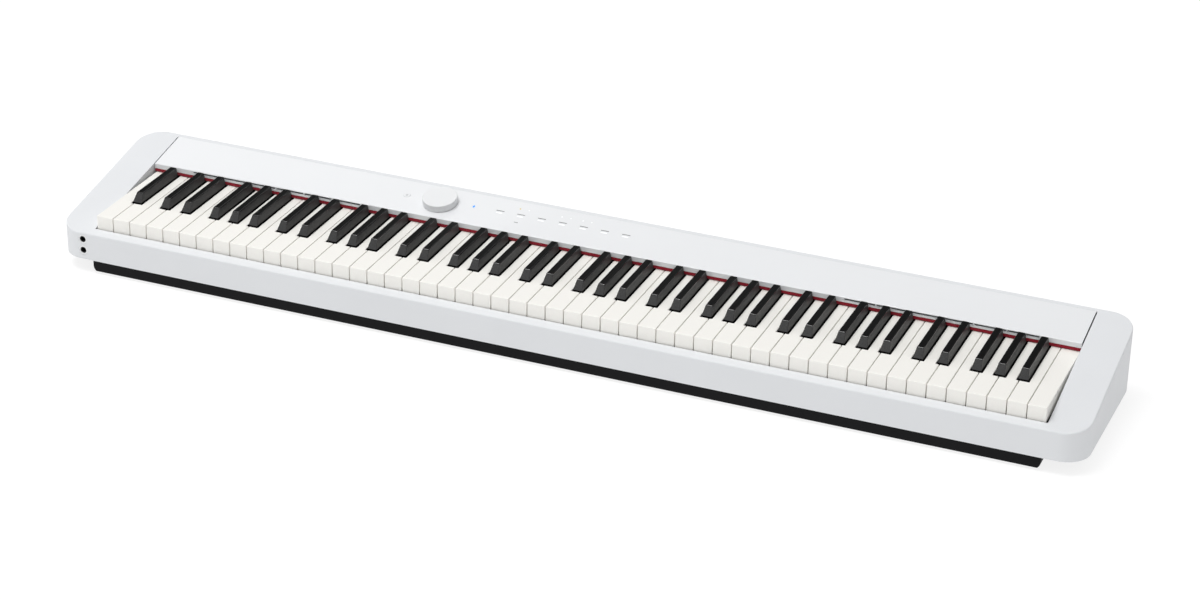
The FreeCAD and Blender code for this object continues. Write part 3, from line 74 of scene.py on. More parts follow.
def rounded_outline(corners: list[tuple[float, float]], radius: float | list[float],
                    steps: int = 4, straight: int = 1) -> Outline:
    """Round every corner of a counter-clockwise polygon.

    At a corner with incoming and outgoing directions d1, d2 the tangent length is
    r * tan(turn / 2). The arc is c + s * r * n(a), where n turns from one edge's outward normal
    to the next one's, and s is +1 at a convex corner and -1 at a concave one.

    Args:
        corners: Polygon corners, counter-clockwise.
        radius: Radius of every corner, or one radius for each.
        steps: Points on each arc, less one.
        straight: Pieces that each straight stretch is divided into.

    Returns:
        The outline's points and outward normals.
    """
    corner = np.array(corners, float)
    radii = np.broadcast_to(np.asarray(radius, float), (len(corner),))
    incoming = corner - np.roll(corner, 1, axis=0)
    incoming /= np.linalg.norm(incoming, axis=1)[:, None]
    outgoing = np.roll(incoming, -1, axis=0)
    turn = np.arctan2(incoming[:, 0] * outgoing[:, 1] - incoming[:, 1] * outgoing[:, 0],
                      (incoming * outgoing).sum(1))
    sign = np.sign(turn)
    start_angle = np.arctan2(-incoming[:, 0], incoming[:, 1])
    angles = start_angle[:, None] + turn[:, None] * np.linspace(0, 1, steps + 1)[None]
    normals = np.stack([np.cos(angles), np.sin(angles)], axis=2)
    tangent = radii * np.tan(np.abs(turn) / 2)
    first = corner - incoming * tangent[:, None]
    centre = first - (sign * radii)[:, None] * normals[:, 0]
    points = centre[:, None] + (sign * radii)[:, None, None] * normals
    if straight > 1:
        share = np.linspace(0, 1, straight + 1)[1:-1][None, :, None]
        following = np.roll(points[:, 0], -1, axis=0)[:, None]
        between = points[:, -1][:, None] * (1 - share) + following * share
        between_normals = np.repeat(normals[:, -1][:, None], straight - 1, axis=1)
        points = np.concatenate([points, between], axis=1)
        normals = np.concatenate([normals, between_normals], axis=1)
    return Outline(points.reshape(-1, 2), normals.reshape(-1, 2))


def rectangle(x_range: tuple[float, float],
              y_range: tuple[float, float]) -> list[tuple[float, float]]:
    """Return the four corners of a rectangle, counter-clockwise."""
    return [(x_range[0], y_range[0]), (x_range[1], y_range[0]),
            (x_range[1], y_range[1]), (x_range[0], y_range[1])]


def edge_rows(low: float, high: float, low_radius: float, high_radius: float,
              steps: int = 4) -> list[tuple[float, float]]:
    """Profile of a block's side as (inset, height) rows with quarter-round ends.

    Each end is inset = r * (1 - cos a), height = end -/+ r * (1 - sin a).

    Args:
        low: Height of the lower end.
        high: Height of the upper end.
        low_radius: Rounding at the lower end, 0 for none.
        high_radius: Rounding at the upper end, 0 for none.
        steps: Pieces in each quarter round.

    Returns:
        Rows from the lower end to the upper end.
    """
    angles = np.linspace(0, math.pi / 2, steps + 1)
    rows = [(0.0, low)]
    if low_radius > 0:
        rows = [(low_radius * (1 - math.sin(a)), low + low_radius * (1 - math.cos(a)))
                for a in angles]
    if high_radius > 0:
        rows += [(high_radius * (1 - math.cos(a)), high - high_radius * (1 - math.sin(a)))
                 for a in angles]
    else:
        rows.append((0.0, high))
    return rows


def grid_faces(rows: int, around: int, closed_rows: bool = False) -> np.ndarray:
    """Quads between neighbouring rows of a grid that closes round each row."""
    row = np.arange(rows if closed_rows else rows - 1)[:, None]
    place = np.arange(around)[None]
    following = (place + 1) % around
    above = (row + 1) % rows
    return np.stack([row * around + place, row * around + following,
                     above * around + following, above * around + place], axis=2).reshape(-1, 4)


@dataclass
class MeshParts:
    """Vertices and faces gathered from several surfaces, with a finish number for each face."""

    points: list[np.ndarray] = field(default_factory=list)
    faces: list[list[int]] = field(default_factory=list)
    finishes: list[int] = field(default_factory=list)
    count: int = 0

    def add_rings(self, rings: np.ndarray, finish: int = 0, cap_finish: int | None = None,
                  closed_rows: bool = False) -> None:
        """Add a grid that closes round each row, with a face at both ends.

        Args:
            rings: The (rows, places, 3) grid of points.
            finish: Finish number of its faces.
            cap_finish: Finish number of the face at the last row, the same if not given.
            closed_rows: Whether the last row joins the first one, so that there are no end faces.
        """
        rows, around = rings.shape[:2]
        faces = grid_faces(rows, around, closed_rows) + self.count
        self.points.append(rings.reshape(-1, 3))
        self.faces.extend(faces.tolist())
        self.finishes.extend([finish] * len(faces))
        if not closed_rows:
            first_row = np.arange(around) + self.count
            self.faces.append(first_row[::-1].tolist())
            self.faces.append((first_row + (rows - 1) * around).tolist())
            self.finishes.extend([finish, finish if cap_finish is None else cap_finish])
        self.count += rows * around

    def build(self, name: str, materials: list[bpy.types.Material], smooth_deg: float = 40.0,
              weighted: bool = True) -> bpy.types.Object:
        """Make the object.

        Args:
            name: The piece's name.
            materials: Finishes, in the order that the finish numbers count.
            smooth_deg: Edges that turn by less than this are shaded smooth.
            weighted: Whether large faces keep their own flat shading.

        Returns:
            The new object, linked to the scene.
        """
        mesh = bpy.data.meshes.new(name)
        mesh.from_pydata(np.concatenate(self.points).tolist(), [], self.faces)
        mesh.polygons.foreach_set("material_index", np.array(self.finishes, np.int32))
        mesh.polygons.foreach_set("use_smooth", np.ones(len(self.faces), bool))
        mesh.update()
        mesh.set_sharp_from_angle(angle=math.radians(smooth_deg))
        for material in materials:
            mesh.materials.append(material)
        piece = bpy.data.objects.new(name, mesh)
        bpy.context.scene.collection.objects.link(piece)
        if weighted:
            weigh_normals(piece)
        return piece


def weigh_normals(piece: bpy.types.Object) -> None:
    """Let the large faces set the normals, so that flat stretches stay flat."""
    modifier = piece.modifiers.new("flat_faces", "WEIGHTED_NORMAL")
    modifier.keep_sharp = True
    modifier.weight = 100


def upright_rings(outline: Outline, rows: list[tuple[float, float]]) -> np.ndarray:
    """Rings of an outline in plan: (P - inset * n, height) for each row."""
    return np.stack([np.column_stack([outline.inset(inset), np.full(len(outline.points), height)])
                     for inset, height in rows])


def lengthwise_rings(outline: Outline, rows: list[tuple[float, float]]) -> np.ndarray:
    """Rings of a side-view (y, z) outline carried along X: (x, P - inset * n) for each row."""
    return np.stack([np.column_stack([np.full(len(outline.points), x), outline.inset(inset)])
                     for inset, x in rows])


def block(parts: MeshParts, x_range: tuple[float, float], y_range: tuple[float, float],
          z_range: tuple[float, float]) -> None:
    """Add a square-edged block to parts."""
    outline = rounded_outline(rectangle(x_range, y_range), 0.0, 0)
    parts.add_rings(upright_rings(outline, edge_rows(*z_range, 0.0, 0.0)))


def lathe_rings(rows: list[tuple[float, float]], segments: int = 64) -> np.ndarray:
    """Rings turned about the vertical: (r cos a, r sin a, h) for each (r, h) row."""
    angle = np.linspace(0, 2 * math.pi, segments, endpoint=False)
    return np.stack([np.column_stack([r * np.cos(angle), r * np.sin(angle),
                                      np.full(segments, h)]) for r, h in rows])


def cut_away(piece: bpy.types.Object, cutters: list[bpy.types.Object]) -> None:
    """Cut every closed cutter out of a closed piece, and remove the cutters.

    Args:
        piece: The closed object to cut, whose mesh is changed.
        cutters: Closed objects that take away what they cover.
    """
    for cutter in cutters:
        modifier = piece.modifiers.new("cut", "BOOLEAN")
        modifier.operation = "DIFFERENCE"
        modifier.solver = "EXACT"
        modifier.object = cutter
    graph = bpy.context.evaluated_depsgraph_get()
    graph.update()
    made = bpy.data.meshes.new_from_object(piece.evaluated_get(graph))
    piece.modifiers.clear()
    old = piece.data
    piece.data = made
    made.name = piece.name
    bpy.data.meshes.remove(old)
    for cutter in cutters:
        bpy.data.objects.remove(cutter)


def cutter_block(x_range: tuple[float, float], y_range: tuple[float, float],
                 z_range: tuple[float, float]) -> bpy.types.Object:
    """Make a closed block for cut_away."""
    parts = MeshParts()
    block(parts, x_range, y_range, z_range)
    return parts.build("cutter", [], weighted=False)


def cutter_bar(centre: tuple[float, float, float], radius: float, length: float,
               matrix: np.ndarray) -> bpy.types.Object:
    """Make a closed round bar for cut_away, its axis along the matrix's third column."""
    parts = MeshParts()
    rings = lathe_rings([(radius, -length / 2), (radius, length / 2)], 48)
    parts.add_rings(rings @ matrix.T + np.array(centre))
    return parts.build("cutter", [], weighted=False)


# ---------------------------------------------------------------------------------------------
# places and sizes shared by the sub-assemblies
# ---------------------------------------------------------------------------------------------
@dataclass(frozen=True)
class Slope:
    """The sloping plane of the top face, and the flat drawing laid on it."""

    front_y: float = -116.0 * MM
    rear_y: float = 116.0 * MM
    front_z: float = 54.3 * MM
    rear_z: float = 99.8 * MM

    @property
    def rise(self) -> float:
        """Height gained for each metre towards the back."""
        return (self.rear_z - self.front_z) / (self.rear_y - self.front_y)

    @property
    def angle(self) -> float:
        """Tilt of the plane, in radians."""
        return math.atan(self.rise)

    @property
    def mid_z(self) -> float:
        """Height of the plane at y = 0."""
        return (self.front_z + self.rear_z) / 2

    def height(self, y: np.ndarray | float) -> np.ndarray | float:
        """Height of the plane at depth y."""
        return self.mid_z + self.rise * y

    @property
    def matrix(self) -> np.ndarray:
        """Rotation that lays a flat drawing on the plane."""
        c, s = math.cos(self.angle), math.sin(self.angle)
        return np.array([[1, 0, 0], [0, c, -s], [0, s, c]])

    def lay(self, points: np.ndarray, centre: tuple[float, float]) -> np.ndarray:
        """Turn flat points about a centre (x, y) and set them on the plane there."""
        x, y = centre
        return points @ self.matrix.T + np.array([x, y, self.height(y)])


SLOPE = Slope()


class KeyColour(Enum):
    """The two kinds of piano key."""

    WHITE = "white"
    BLACK = "black"

    @property
    def slot(self) -> str:
        """The record's slot of this kind."""
        return "key_black" if self is KeyColour.BLACK else "key_ivory"

    @property
    def skins(self) -> list[str]:
        """Finishes by their number: the main one, then the sides in painted light, the foot and
        body in painted shade, and the edges with a painted highlight.
        """
        parts = ("", "_side", "_foot", "_edge") if self is KeyColour.BLACK else ("",)
        return [self.slot + part for part in parts]


# ---------------------------------------------------------------------------------------------
# finishes
# ---------------------------------------------------------------------------------------------
@dataclass
class NodeGraph:
    """A new material with its shader, and short calls to add nodes to it."""

    name: str

    def __post_init__(self) -> None:
        """Make the material and find its shader node."""
        self.material = bpy.data.materials.new(self.name)
        self.material.use_nodes = True
        self.tree = self.material.node_tree
        self.shader = self.tree.nodes["Principled BSDF"]
        self.coordinates = self.add("ShaderNodeTexCoord").outputs["Object"]

    def add(self, kind: str, **values: object) -> bpy.types.Node:
        """Add a node and set its inputs by name."""
        node = self.tree.nodes.new(kind)
        for key, value in values.items():
            node.inputs[key.replace("_", " ")].default_value = value
        return node

    def link(self, source: bpy.types.NodeSocket, target: bpy.types.NodeSocket) -> None:
        """Join two sockets."""
        self.tree.links.new(source, target)

    def noise(self, scale: float, detail: float = 2.0, roughness: float = 0.5,
              stretch: tuple[float, float, float] = (1, 1, 1)) -> bpy.types.NodeSocket:
        """Add a noise on object coordinates, and return its value."""
        texture = self.add("ShaderNodeTexNoise", Scale=scale, Detail=detail, Roughness=roughness)
        if stretch == (1, 1, 1):
            self.link(self.coordinates, texture.inputs["Vector"])
        else:
            mapping = self.add("ShaderNodeMapping", Scale=stretch)
            self.link(self.coordinates, mapping.inputs["Vector"])
            self.link(mapping.outputs["Vector"], texture.inputs["Vector"])
        return texture.outputs["Fac"]

    def blend(self, factor: bpy.types.NodeSocket, low: tuple[float, float, float],
              high: tuple[float, float, float], start: float = 0.35,
              end: float = 0.65) -> bpy.types.NodeSocket:
        """Turn a value into a colour between two colours."""
        ramp = self.add("ShaderNodeValToRGB")
        ramp.color_ramp.elements[0].position = start
        ramp.color_ramp.elements[0].color = (*low, 1)
        ramp.color_ramp.elements[1].position = end
        ramp.color_ramp.elements[1].color = (*high, 1)
        self.link(factor, ramp.inputs["Fac"])
        return ramp.outputs["Color"]

    def spread(self, factor: bpy.types.NodeSocket, low: float, high: float) -> bpy.types.NodeSocket:
        """Map a value from 0..1 to low..high."""
        node = self.add("ShaderNodeMapRange")
        node.inputs["To Min"].default_value = low
        node.inputs["To Max"].default_value = high
        self.link(factor, node.inputs["Value"])
        return node.outputs["Result"]

    def bump(self, height: bpy.types.NodeSocket, depth: float, strength: float = 1.0,
             below: bpy.types.NodeSocket | None = None) -> bpy.types.NodeSocket:
        """Add a bump of the given depth in metres, on top of another bump if given."""
        node = self.add("ShaderNodeBump", Strength=strength, Distance=depth)
        self.link(height, node.inputs["Height"])
        if below is not None:
            self.link(below, node.inputs["Normal"])
        return node.outputs["Normal"]

    def finish(self, colour: bpy.types.NodeSocket, roughness: bpy.types.NodeSocket,
               normal: bpy.types.NodeSocket | None = None) -> bpy.types.Material:
        """Join the last sockets to the shader and return the material."""
        self.link(colour, self.shader.inputs["Base Color"])
        self.link(roughness, self.shader.inputs["Roughness"])
        if normal is not None:
            self.link(normal, self.shader.inputs["Normal"])
        return self.material


def shade(colour: tuple[float, float, float], factor: float) -> tuple[float, float, float]:
    """Return a colour made lighter or darker by a factor."""
    return tuple(min(1.0, channel * factor) for channel in colour)


@dataclass(frozen=True)
class MouldedPlastic:
    """Moulded plastic: a fine grain from the mould, faint mottling and uneven gloss."""

    name: str
    colour: tuple[float, float, float]
    roughness: float = 0.45
    grain_scale: float = 2600.0
    grain_depth: float = 0.00004
    mottling: float = 0.02
    coat: float = 0.0
    coat_roughness: float = 0.05
    specular: float = 0.5

    def make(self) -> bpy.types.Material:
        """Build the material and return it."""
        graph = NodeGraph(self.name)
        graph.shader.inputs["Specular IOR Level"].default_value = self.specular
        graph.shader.inputs["Coat Weight"].default_value = self.coat
        graph.shader.inputs["Coat Roughness"].default_value = self.coat_roughness
        cloud = graph.noise(14.0, 3.0)
        colour = graph.blend(cloud, shade(self.colour, 1 - self.mottling),
                             shade(self.colour, 1 + self.mottling))
        rough = graph.spread(graph.noise(60.0, 4.0), self.roughness * 0.88, self.roughness * 1.12)
        grain = graph.bump(graph.noise(self.grain_scale, 2.0), self.grain_depth, 0.6)
        return graph.finish(colour, rough, grain)


@dataclass(frozen=True)
class KeySkin:
    """The grained skin of a key: fine pores drawn out along the key, with worn gloss."""

    name: str
    colour: tuple[float, float, float]
    roughness: float
    pore_depth: float
    mottling: float
    specular: float = 0.5

    def make(self) -> bpy.types.Material:
        """Build the material and return it."""
        graph = NodeGraph(self.name)
        graph.shader.inputs["Specular IOR Level"].default_value = self.specular
        streaks = graph.noise(900.0, 3.0, 0.6, (1.0, 0.35, 1.0))
        pores = graph.noise(3200.0, 2.0, 0.7, (1.0, 0.5, 1.0))
        colour = graph.blend(streaks, shade(self.colour, 1 - self.mottling),
                             shade(self.colour, 1 + self.mottling), 0.3, 0.7)
        rough = graph.spread(graph.noise(500.0, 3.0), self.roughness * 0.85, self.roughness * 1.15)
        fine = graph.bump(pores, self.pore_depth, 0.8)
        return graph.finish(colour, rough, graph.bump(streaks, self.pore_depth * 1.5, 0.4, fine))


@dataclass(frozen=True)
class Felt:
    """Pressed wool felt: matted fibres, sheen and uneven dye."""

    name: str
    colour: tuple[float, float, float]
    sheen: float = 0.4

    def make(self) -> bpy.types.Material:
        """Build the material and return it."""
        graph = NodeGraph(self.name)
        graph.shader.inputs["Sheen Weight"].default_value = self.sheen
        graph.shader.inputs["Sheen Roughness"].default_value = 0.5
        graph.shader.inputs["Specular IOR Level"].default_value = 0.15
        fibres = graph.noise(2200.0, 6.0, 0.75, (1.0, 2.5, 2.5))
        colour = graph.blend(fibres, shade(self.colour, 0.6), shade(self.colour, 1.35), 0.3, 0.7)
        rough = graph.spread(graph.noise(400.0, 2.0), 0.85, 1.0)
        return graph.finish(colour, rough, graph.bump(fibres, 0.0003, 0.9))


@dataclass(frozen=True)
class Metal:
    """Turned, drawn or cast metal: streaks along one direction and small pits."""

    name: str
    colour: tuple[float, float, float]
    roughness: float = 0.3
    stretch: tuple[float, float, float] = (0.02, 1.0, 1.0)
    pit_depth: float = 0.00002

    def make(self) -> bpy.types.Material:
        """Build the material and return it."""
        graph = NodeGraph(self.name)
        graph.shader.inputs["Metallic"].default_value = 1.0
        streaks = graph.noise(1800.0, 3.0, 0.6, self.stretch)
        colour = graph.blend(streaks, shade(self.colour, 0.85), shade(self.colour, 1.1))
        rough = graph.spread(streaks, self.roughness * 0.75, self.roughness * 1.3)
        return graph.finish(colour, rough, graph.bump(graph.noise(2500.0, 2.0), self.pit_depth))


@dataclass(frozen=True)
class CircuitBoard:
    """Solder mask over copper tracks, with tinned pads."""

    name: str
    colour: tuple[float, float, float]

    def make(self) -> bpy.types.Material:
        """Build the material and return it."""
        graph = NodeGraph(self.name)
        graph.shader.inputs["Specular IOR Level"].default_value = 0.5
        tracks = graph.add("ShaderNodeTexBrick", Scale=220.0, Mortar_Size=0.012)
        tracks.inputs["Color1"].default_value = (*shade(self.colour, 0.8), 1)
        tracks.inputs["Color2"].default_value = (*self.colour, 1)
        tracks.inputs["Mortar"].default_value = (*shade(self.colour, 2.2), 1)
        graph.link(graph.coordinates, tracks.inputs["Vector"])
        rough = graph.spread(graph.noise(300.0), 0.3, 0.45)
        return graph.finish(tracks.outputs["Color"], rough,
                            graph.bump(tracks.outputs["Fac"], 0.00004, 0.5))


@dataclass(frozen=True)
class WovenNet:
    """A fine net: crossed threads with dark gaps between them."""

    name: str
    colour: tuple[float, float, float]
    thread: float = 0.0006

    def make(self) -> bpy.types.Material:
        """Build the material and return it."""
        graph = NodeGraph(self.name)
        along = graph.add("ShaderNodeTexWave", Scale=1 / self.thread / 6.28, Distortion=0.4)
        along.bands_direction = "X"
        across = graph.add("ShaderNodeTexWave", Scale=1 / self.thread / 6.28, Distortion=0.4)
        across.bands_direction = "Z"
        for wave in (along, across):
            graph.link(graph.coordinates, wave.inputs["Vector"])
        cross = graph.add("ShaderNodeMath")
        cross.operation = "MULTIPLY"
        graph.link(along.outputs["Fac"], cross.inputs[0])
        graph.link(across.outputs["Fac"], cross.inputs[1])
        colour = graph.blend(cross.outputs[0], shade(self.colour, 0.3), self.colour, 0.2, 0.8)
        rough = graph.spread(cross.outputs[0], 0.9, 0.6)
        return graph.finish(colour, rough, graph.bump(cross.outputs[0], 0.0002))


@dataclass(frozen=True)
class LitLens:
    """A frosted light pipe with an even, faintly mottled glow."""

    name: str
    colour: tuple[float, float, float]
    glow: float

    def make(self) -> bpy.types.Material:
        """Build the material and return it."""
        graph = NodeGraph(self.name)
        graph.shader.inputs["Emission Strength"].default_value = self.glow
        cloud = graph.noise(900.0, 2.0)
        colour = graph.blend(cloud, shade(self.colour, 0.9), self.colour)
        graph.link(colour, graph.shader.inputs["Emission Color"])
        return graph.finish(colour, graph.spread(cloud, 0.25, 0.4))


@dataclass
class Finishes:
    """Every finish of the piano, by the record's slot name."""

    def __post_init__(self) -> None:
        """Build all the materials once."""
        case = (0.775, 0.79, 0.81)
        recipes = [
            MouldedPlastic("case_white", case, 0.55, 2400.0, 0.00002, 0.008, specular=0.35),
            MouldedPlastic("panel_white", (0.84, 0.852, 0.868), 0.3, 1500.0, 0.0, 0.004,
                           0.5, 0.04),
            MouldedPlastic("base_black", (0.004, 0.004, 0.005), 0.6, 1800.0, 0.00008, 0.15,
                           specular=0.15),
            MouldedPlastic("frame_grey", (0.05, 0.05, 0.054), 0.55),
            MouldedPlastic("knob_white", (0.83, 0.84, 0.85), 0.42, 3000.0, 0.00001, 0.006),
            MouldedPlastic("speaker_black", (0.02, 0.02, 0.022), 0.5),
            MouldedPlastic("jack_black", (0.008, 0.008, 0.009), 0.35),
            MouldedPlastic("board_parts", (0.02, 0.02, 0.022), 0.45, 3000.0, 0.00003, 0.1),
            MouldedPlastic("rubber_grey", (0.16, 0.16, 0.165), 0.75, 1500.0, 0.00006, 0.06),
            MouldedPlastic("rubber_black", (0.015, 0.015, 0.015), 0.8, 1500.0, 0.0001, 0.2),
            MouldedPlastic("ribbon_grey", (0.42, 0.42, 0.44), 0.4),
            KeySkin("key_ivory", (0.965, 0.95, 0.905), 0.42, 0.00001, 0.012, 0.45),
            KeySkin("key_black", (0.0025, 0.0025, 0.0026), 0.3, 0.000006, 0.15, 0.1),
            # Lighter copy of the black key's plastic for its sides: painted light.
            KeySkin("key_black_side", (0.038, 0.038, 0.0385), 0.42, 0.00003, 0.3, 0.35),
            # Darker, duller copy for the foot and the body between the white keys: painted shade.
            KeySkin("key_black_foot", (0.001, 0.001, 0.001), 0.8, 0.000006, 0.15, 0.05),
            # Lighter, glossier copy for the top roundings: a painted highlight.
            KeySkin("key_black_edge", (0.006, 0.006, 0.0062), 0.14, 0.000003, 0.15, 0.9),
            Felt("felt_red", (0.30, 0.004, 0.018)),
            Felt("felt_dark", (0.05, 0.05, 0.055), 0.2),
            Felt("cone_paper", (0.03, 0.03, 0.032), 0.1),
            Metal("rod_steel", (0.62, 0.62, 0.64), 0.25),
            Metal("hammer_metal", (0.22, 0.22, 0.235), 0.5, (1, 1, 1), 0.00006),
            Metal("magnet_grey", (0.12, 0.12, 0.125), 0.6, (1, 1, 1), 0.00008),
            Metal("brass", (0.78, 0.55, 0.24), 0.28, (1.0, 1.0, 0.05)),
            Metal("screw_steel", (0.09, 0.09, 0.095), 0.4, (1, 1, 1)),
            CircuitBoard("board_green", (0.01, 0.07, 0.03)),
            WovenNet("grille_black", (0.006, 0.006, 0.006)),
            LitLens("lens_clear", (0.95, 0.96, 0.97), 0.22),
            LitLens("lens_blue", (0.02, 0.25, 0.9), 0.6),
            LitLens("lens_yellow", (0.75, 0.55, 0.0), 0.12),
            MouldedPlastic("mark_grey", (0.13, 0.13, 0.135), 0.5),
        ]
        self.by_slot = {recipe.name: recipe.make() for recipe in recipes}

    def __getitem__(self, slot: str) -> bpy.types.Material:
        """Return the finish of a slot."""
        return self.by_slot[slot]


# ---------------------------------------------------------------------------------------------
# the pieces
# ---------------------------------------------------------------------------------------------
def settle(piece: bpy.types.Object, body: str, slot: str, *nodes: str) -> None:
    """Say what a new piece rides on and what it stands for.

    Args:
        piece: The new object, in its place.
        body: The CAD body that it moves with.
        slot: The record's material slot; not used.
        *nodes: CAD nodes that it stands for.
    """
    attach(piece, body)
    if nodes:
        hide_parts(*nodes)
    LOG.info("%s rides on %s for %s", piece.name, body, ", ".join(nodes) or "no node")


@dataclass
class UpperShell:
    """The white moulding: front rail, cheeks and rear rim round one opening."""

    finishes: Finishes
    half_x: float = 661 * MM
    half_y: float = 116 * MM
    corner: float = 32 * MM
    opening_x: float = 613 * MM
    opening_y: tuple[float, float] = (-103.2 * MM, 110 * MM)
    opening_corner: float = 1.5 * MM
    edge_z: tuple[float, float] = (17.7 * MM, 12.8 * MM)
    wall: float = 3.0 * MM
    inner_wall: float = 2.5 * MM
    inner_low: float = 40 * MM
    top_radius: float = 1.7 * MM
    rim_radius: float = 0.5 * MM
    lip: float = 0.9 * MM
    jack_x: float = -624.5 * MM
    jack_z: tuple[float, float] = (45.2 * MM, 30.2 * MM)
    jack_radius: float = 6.35 * MM
    rear_z: float = 75 * MM
    rear_sockets: tuple[tuple[float, float], ...] = ((130 * MM, 5.8 * MM), (0.0, 4.5 * MM),
                                                     (50 * MM, 3.3 * MM))
    usb_x: float = 90 * MM
    usb_half: tuple[float, float] = (6.3 * MM, 5.8 * MM)

    def edge_height(self, y: np.ndarray) -> np.ndarray:
        """Height of the lower edge at depth y."""
        share = (y + self.half_y) / (2 * self.half_y)
        return self.edge_z[0] + share * (self.edge_z[1] - self.edge_z[0])

    def rings(self) -> np.ndarray:
        """Work out the shell as one closed ring of loops round the opening.

        An outer loop is (P - i * n, lower edge + d) or (P - i * n, slope - d) for insets i and
        heights d; an inner loop is the same about the opening's outline. Quarter rounds take
        i = r (1 - cos a) and d = r (1 - sin a).

        Returns:
            The grid of points, closed both ways.
        """
        outer = rounded_outline(rectangle((-self.half_x, self.half_x),
                                          (-self.half_y, self.half_y)), self.corner, 20)
        inner = rounded_outline(rectangle((-self.opening_x, self.opening_x), self.opening_y),
                                self.opening_corner, 20)
        sweep = np.linspace(0, math.pi / 2, 7)

        def loop(outline: Outline, inset: float, drop: float, lower: bool) -> np.ndarray:
            """One loop at an inset, above the lower edge or below the slope."""
            flat = outline.inset(inset)
            base = self.edge_height(flat[:, 1]) if lower else SLOPE.height(flat[:, 1])
            return np.column_stack([flat, base + drop if lower else base - drop])

        def hidden(offset: float) -> np.ndarray:
            """Loop at the lower end of the opening's inner wall, which the rear side lacks."""
            flat = inner.inset(-offset)
            low = np.where(inner.points[:, 1] > self.opening_y[1] - self.opening_corner / 2,
                           SLOPE.height(flat[:, 1]) - self.wall - self.lip, self.inner_low)
            return np.column_stack([flat, low])

        lip, top, rim = self.lip, self.top_radius, self.rim_radius
        loops = [loop(outer, self.wall, 0.0, True)]
        loops += [loop(outer, lip * (1 - math.sin(a)), lip * (1 - math.cos(a)), True)
                  for a in sweep]
        loops += [loop(outer, top * (1 - math.cos(a)), top * (1 - math.sin(a)), False)
                  for a in sweep]
        loops += [loop(inner, -rim * (1 - math.sin(a)), rim * (1 - math.cos(a)), False)
                  for a in sweep]
        loops += [hidden(0.0), hidden(self.inner_wall),
                  loop(inner, -self.inner_wall, self.wall, False),
                  loop(outer, self.wall, self.wall, False)]
        return np.stack(loops)

    def build(self) -> None:
        """Build the shell, cut its holes and dress it."""
        parts = MeshParts()
        parts.add_rings(self.rings(), closed_rows=True)
        shell = parts.build("shell", [self.finishes["case_white"]], 35.0, weighted=False)
        along_y = np.array([[1, 0, 0], [0, 0, 1], [0, -1, 0]], float)
        reach = 4 * self.wall
        front, rear = -self.half_y, self.half_y
        cutters = [cutter_bar((self.jack_x, front, z), self.jack_radius, reach, along_y)
                   for z in self.jack_z]
        cutters += [cutter_bar((x, rear, self.rear_z), radius, reach, along_y)
                    for x, radius in self.rear_sockets]
        half_x, half_z = self.usb_half
        cutters.append(cutter_block((self.usb_x - half_x, self.usb_x + half_x),
                                    (rear - reach / 2, rear + reach / 2),
                                    (self.rear_z - half_z, self.rear_z + half_z)))
        cut_away(shell, cutters)
        shell.data.set_sharp_from_angle(angle=math.radians(35))
        weigh_normals(shell)
        settle(shell, "case", "case_white", "upper_case")
        self.bezels()

    def bezels(self) -> None:
        """Build the white ring round each headphone socket.

        The section is a closed loop of (r, h) rows turned about the socket's axis: a rounded
        outer lip, a flat face and a cone that leads the plug in.
        """
        outer, hole, depth = 6.3 * MM, 4.3 * MM, self.wall
        round_r, cone = 0.6 * MM, 0.5 * MM
        rows = [(hole, -depth), (outer, -depth)]
        rows += [(outer - round_r * (1 - math.cos(a)), -round_r * (1 - math.sin(a)))
                 for a in np.linspace(0, math.pi / 2, 5)]
        rows += [(hole + cone, 0.0), (hole + cone / 4, -cone / 2), (hole, -cone)]
        parts = MeshParts()
        for z in self.jack_z:
            ring = lathe_rings(rows, 64)
            placed = np.stack([ring[..., 0] + self.jack_x, -self.half_y - ring[..., 2],
                               ring[..., 1] + z], axis=2)
            parts.add_rings(placed[:, ::-1], closed_rows=True)
        bezels = parts.build("socket_rings", [self.finishes["knob_white"]], 35.0)
        settle(bezels, "case", "knob_white", "headphone_bezels")


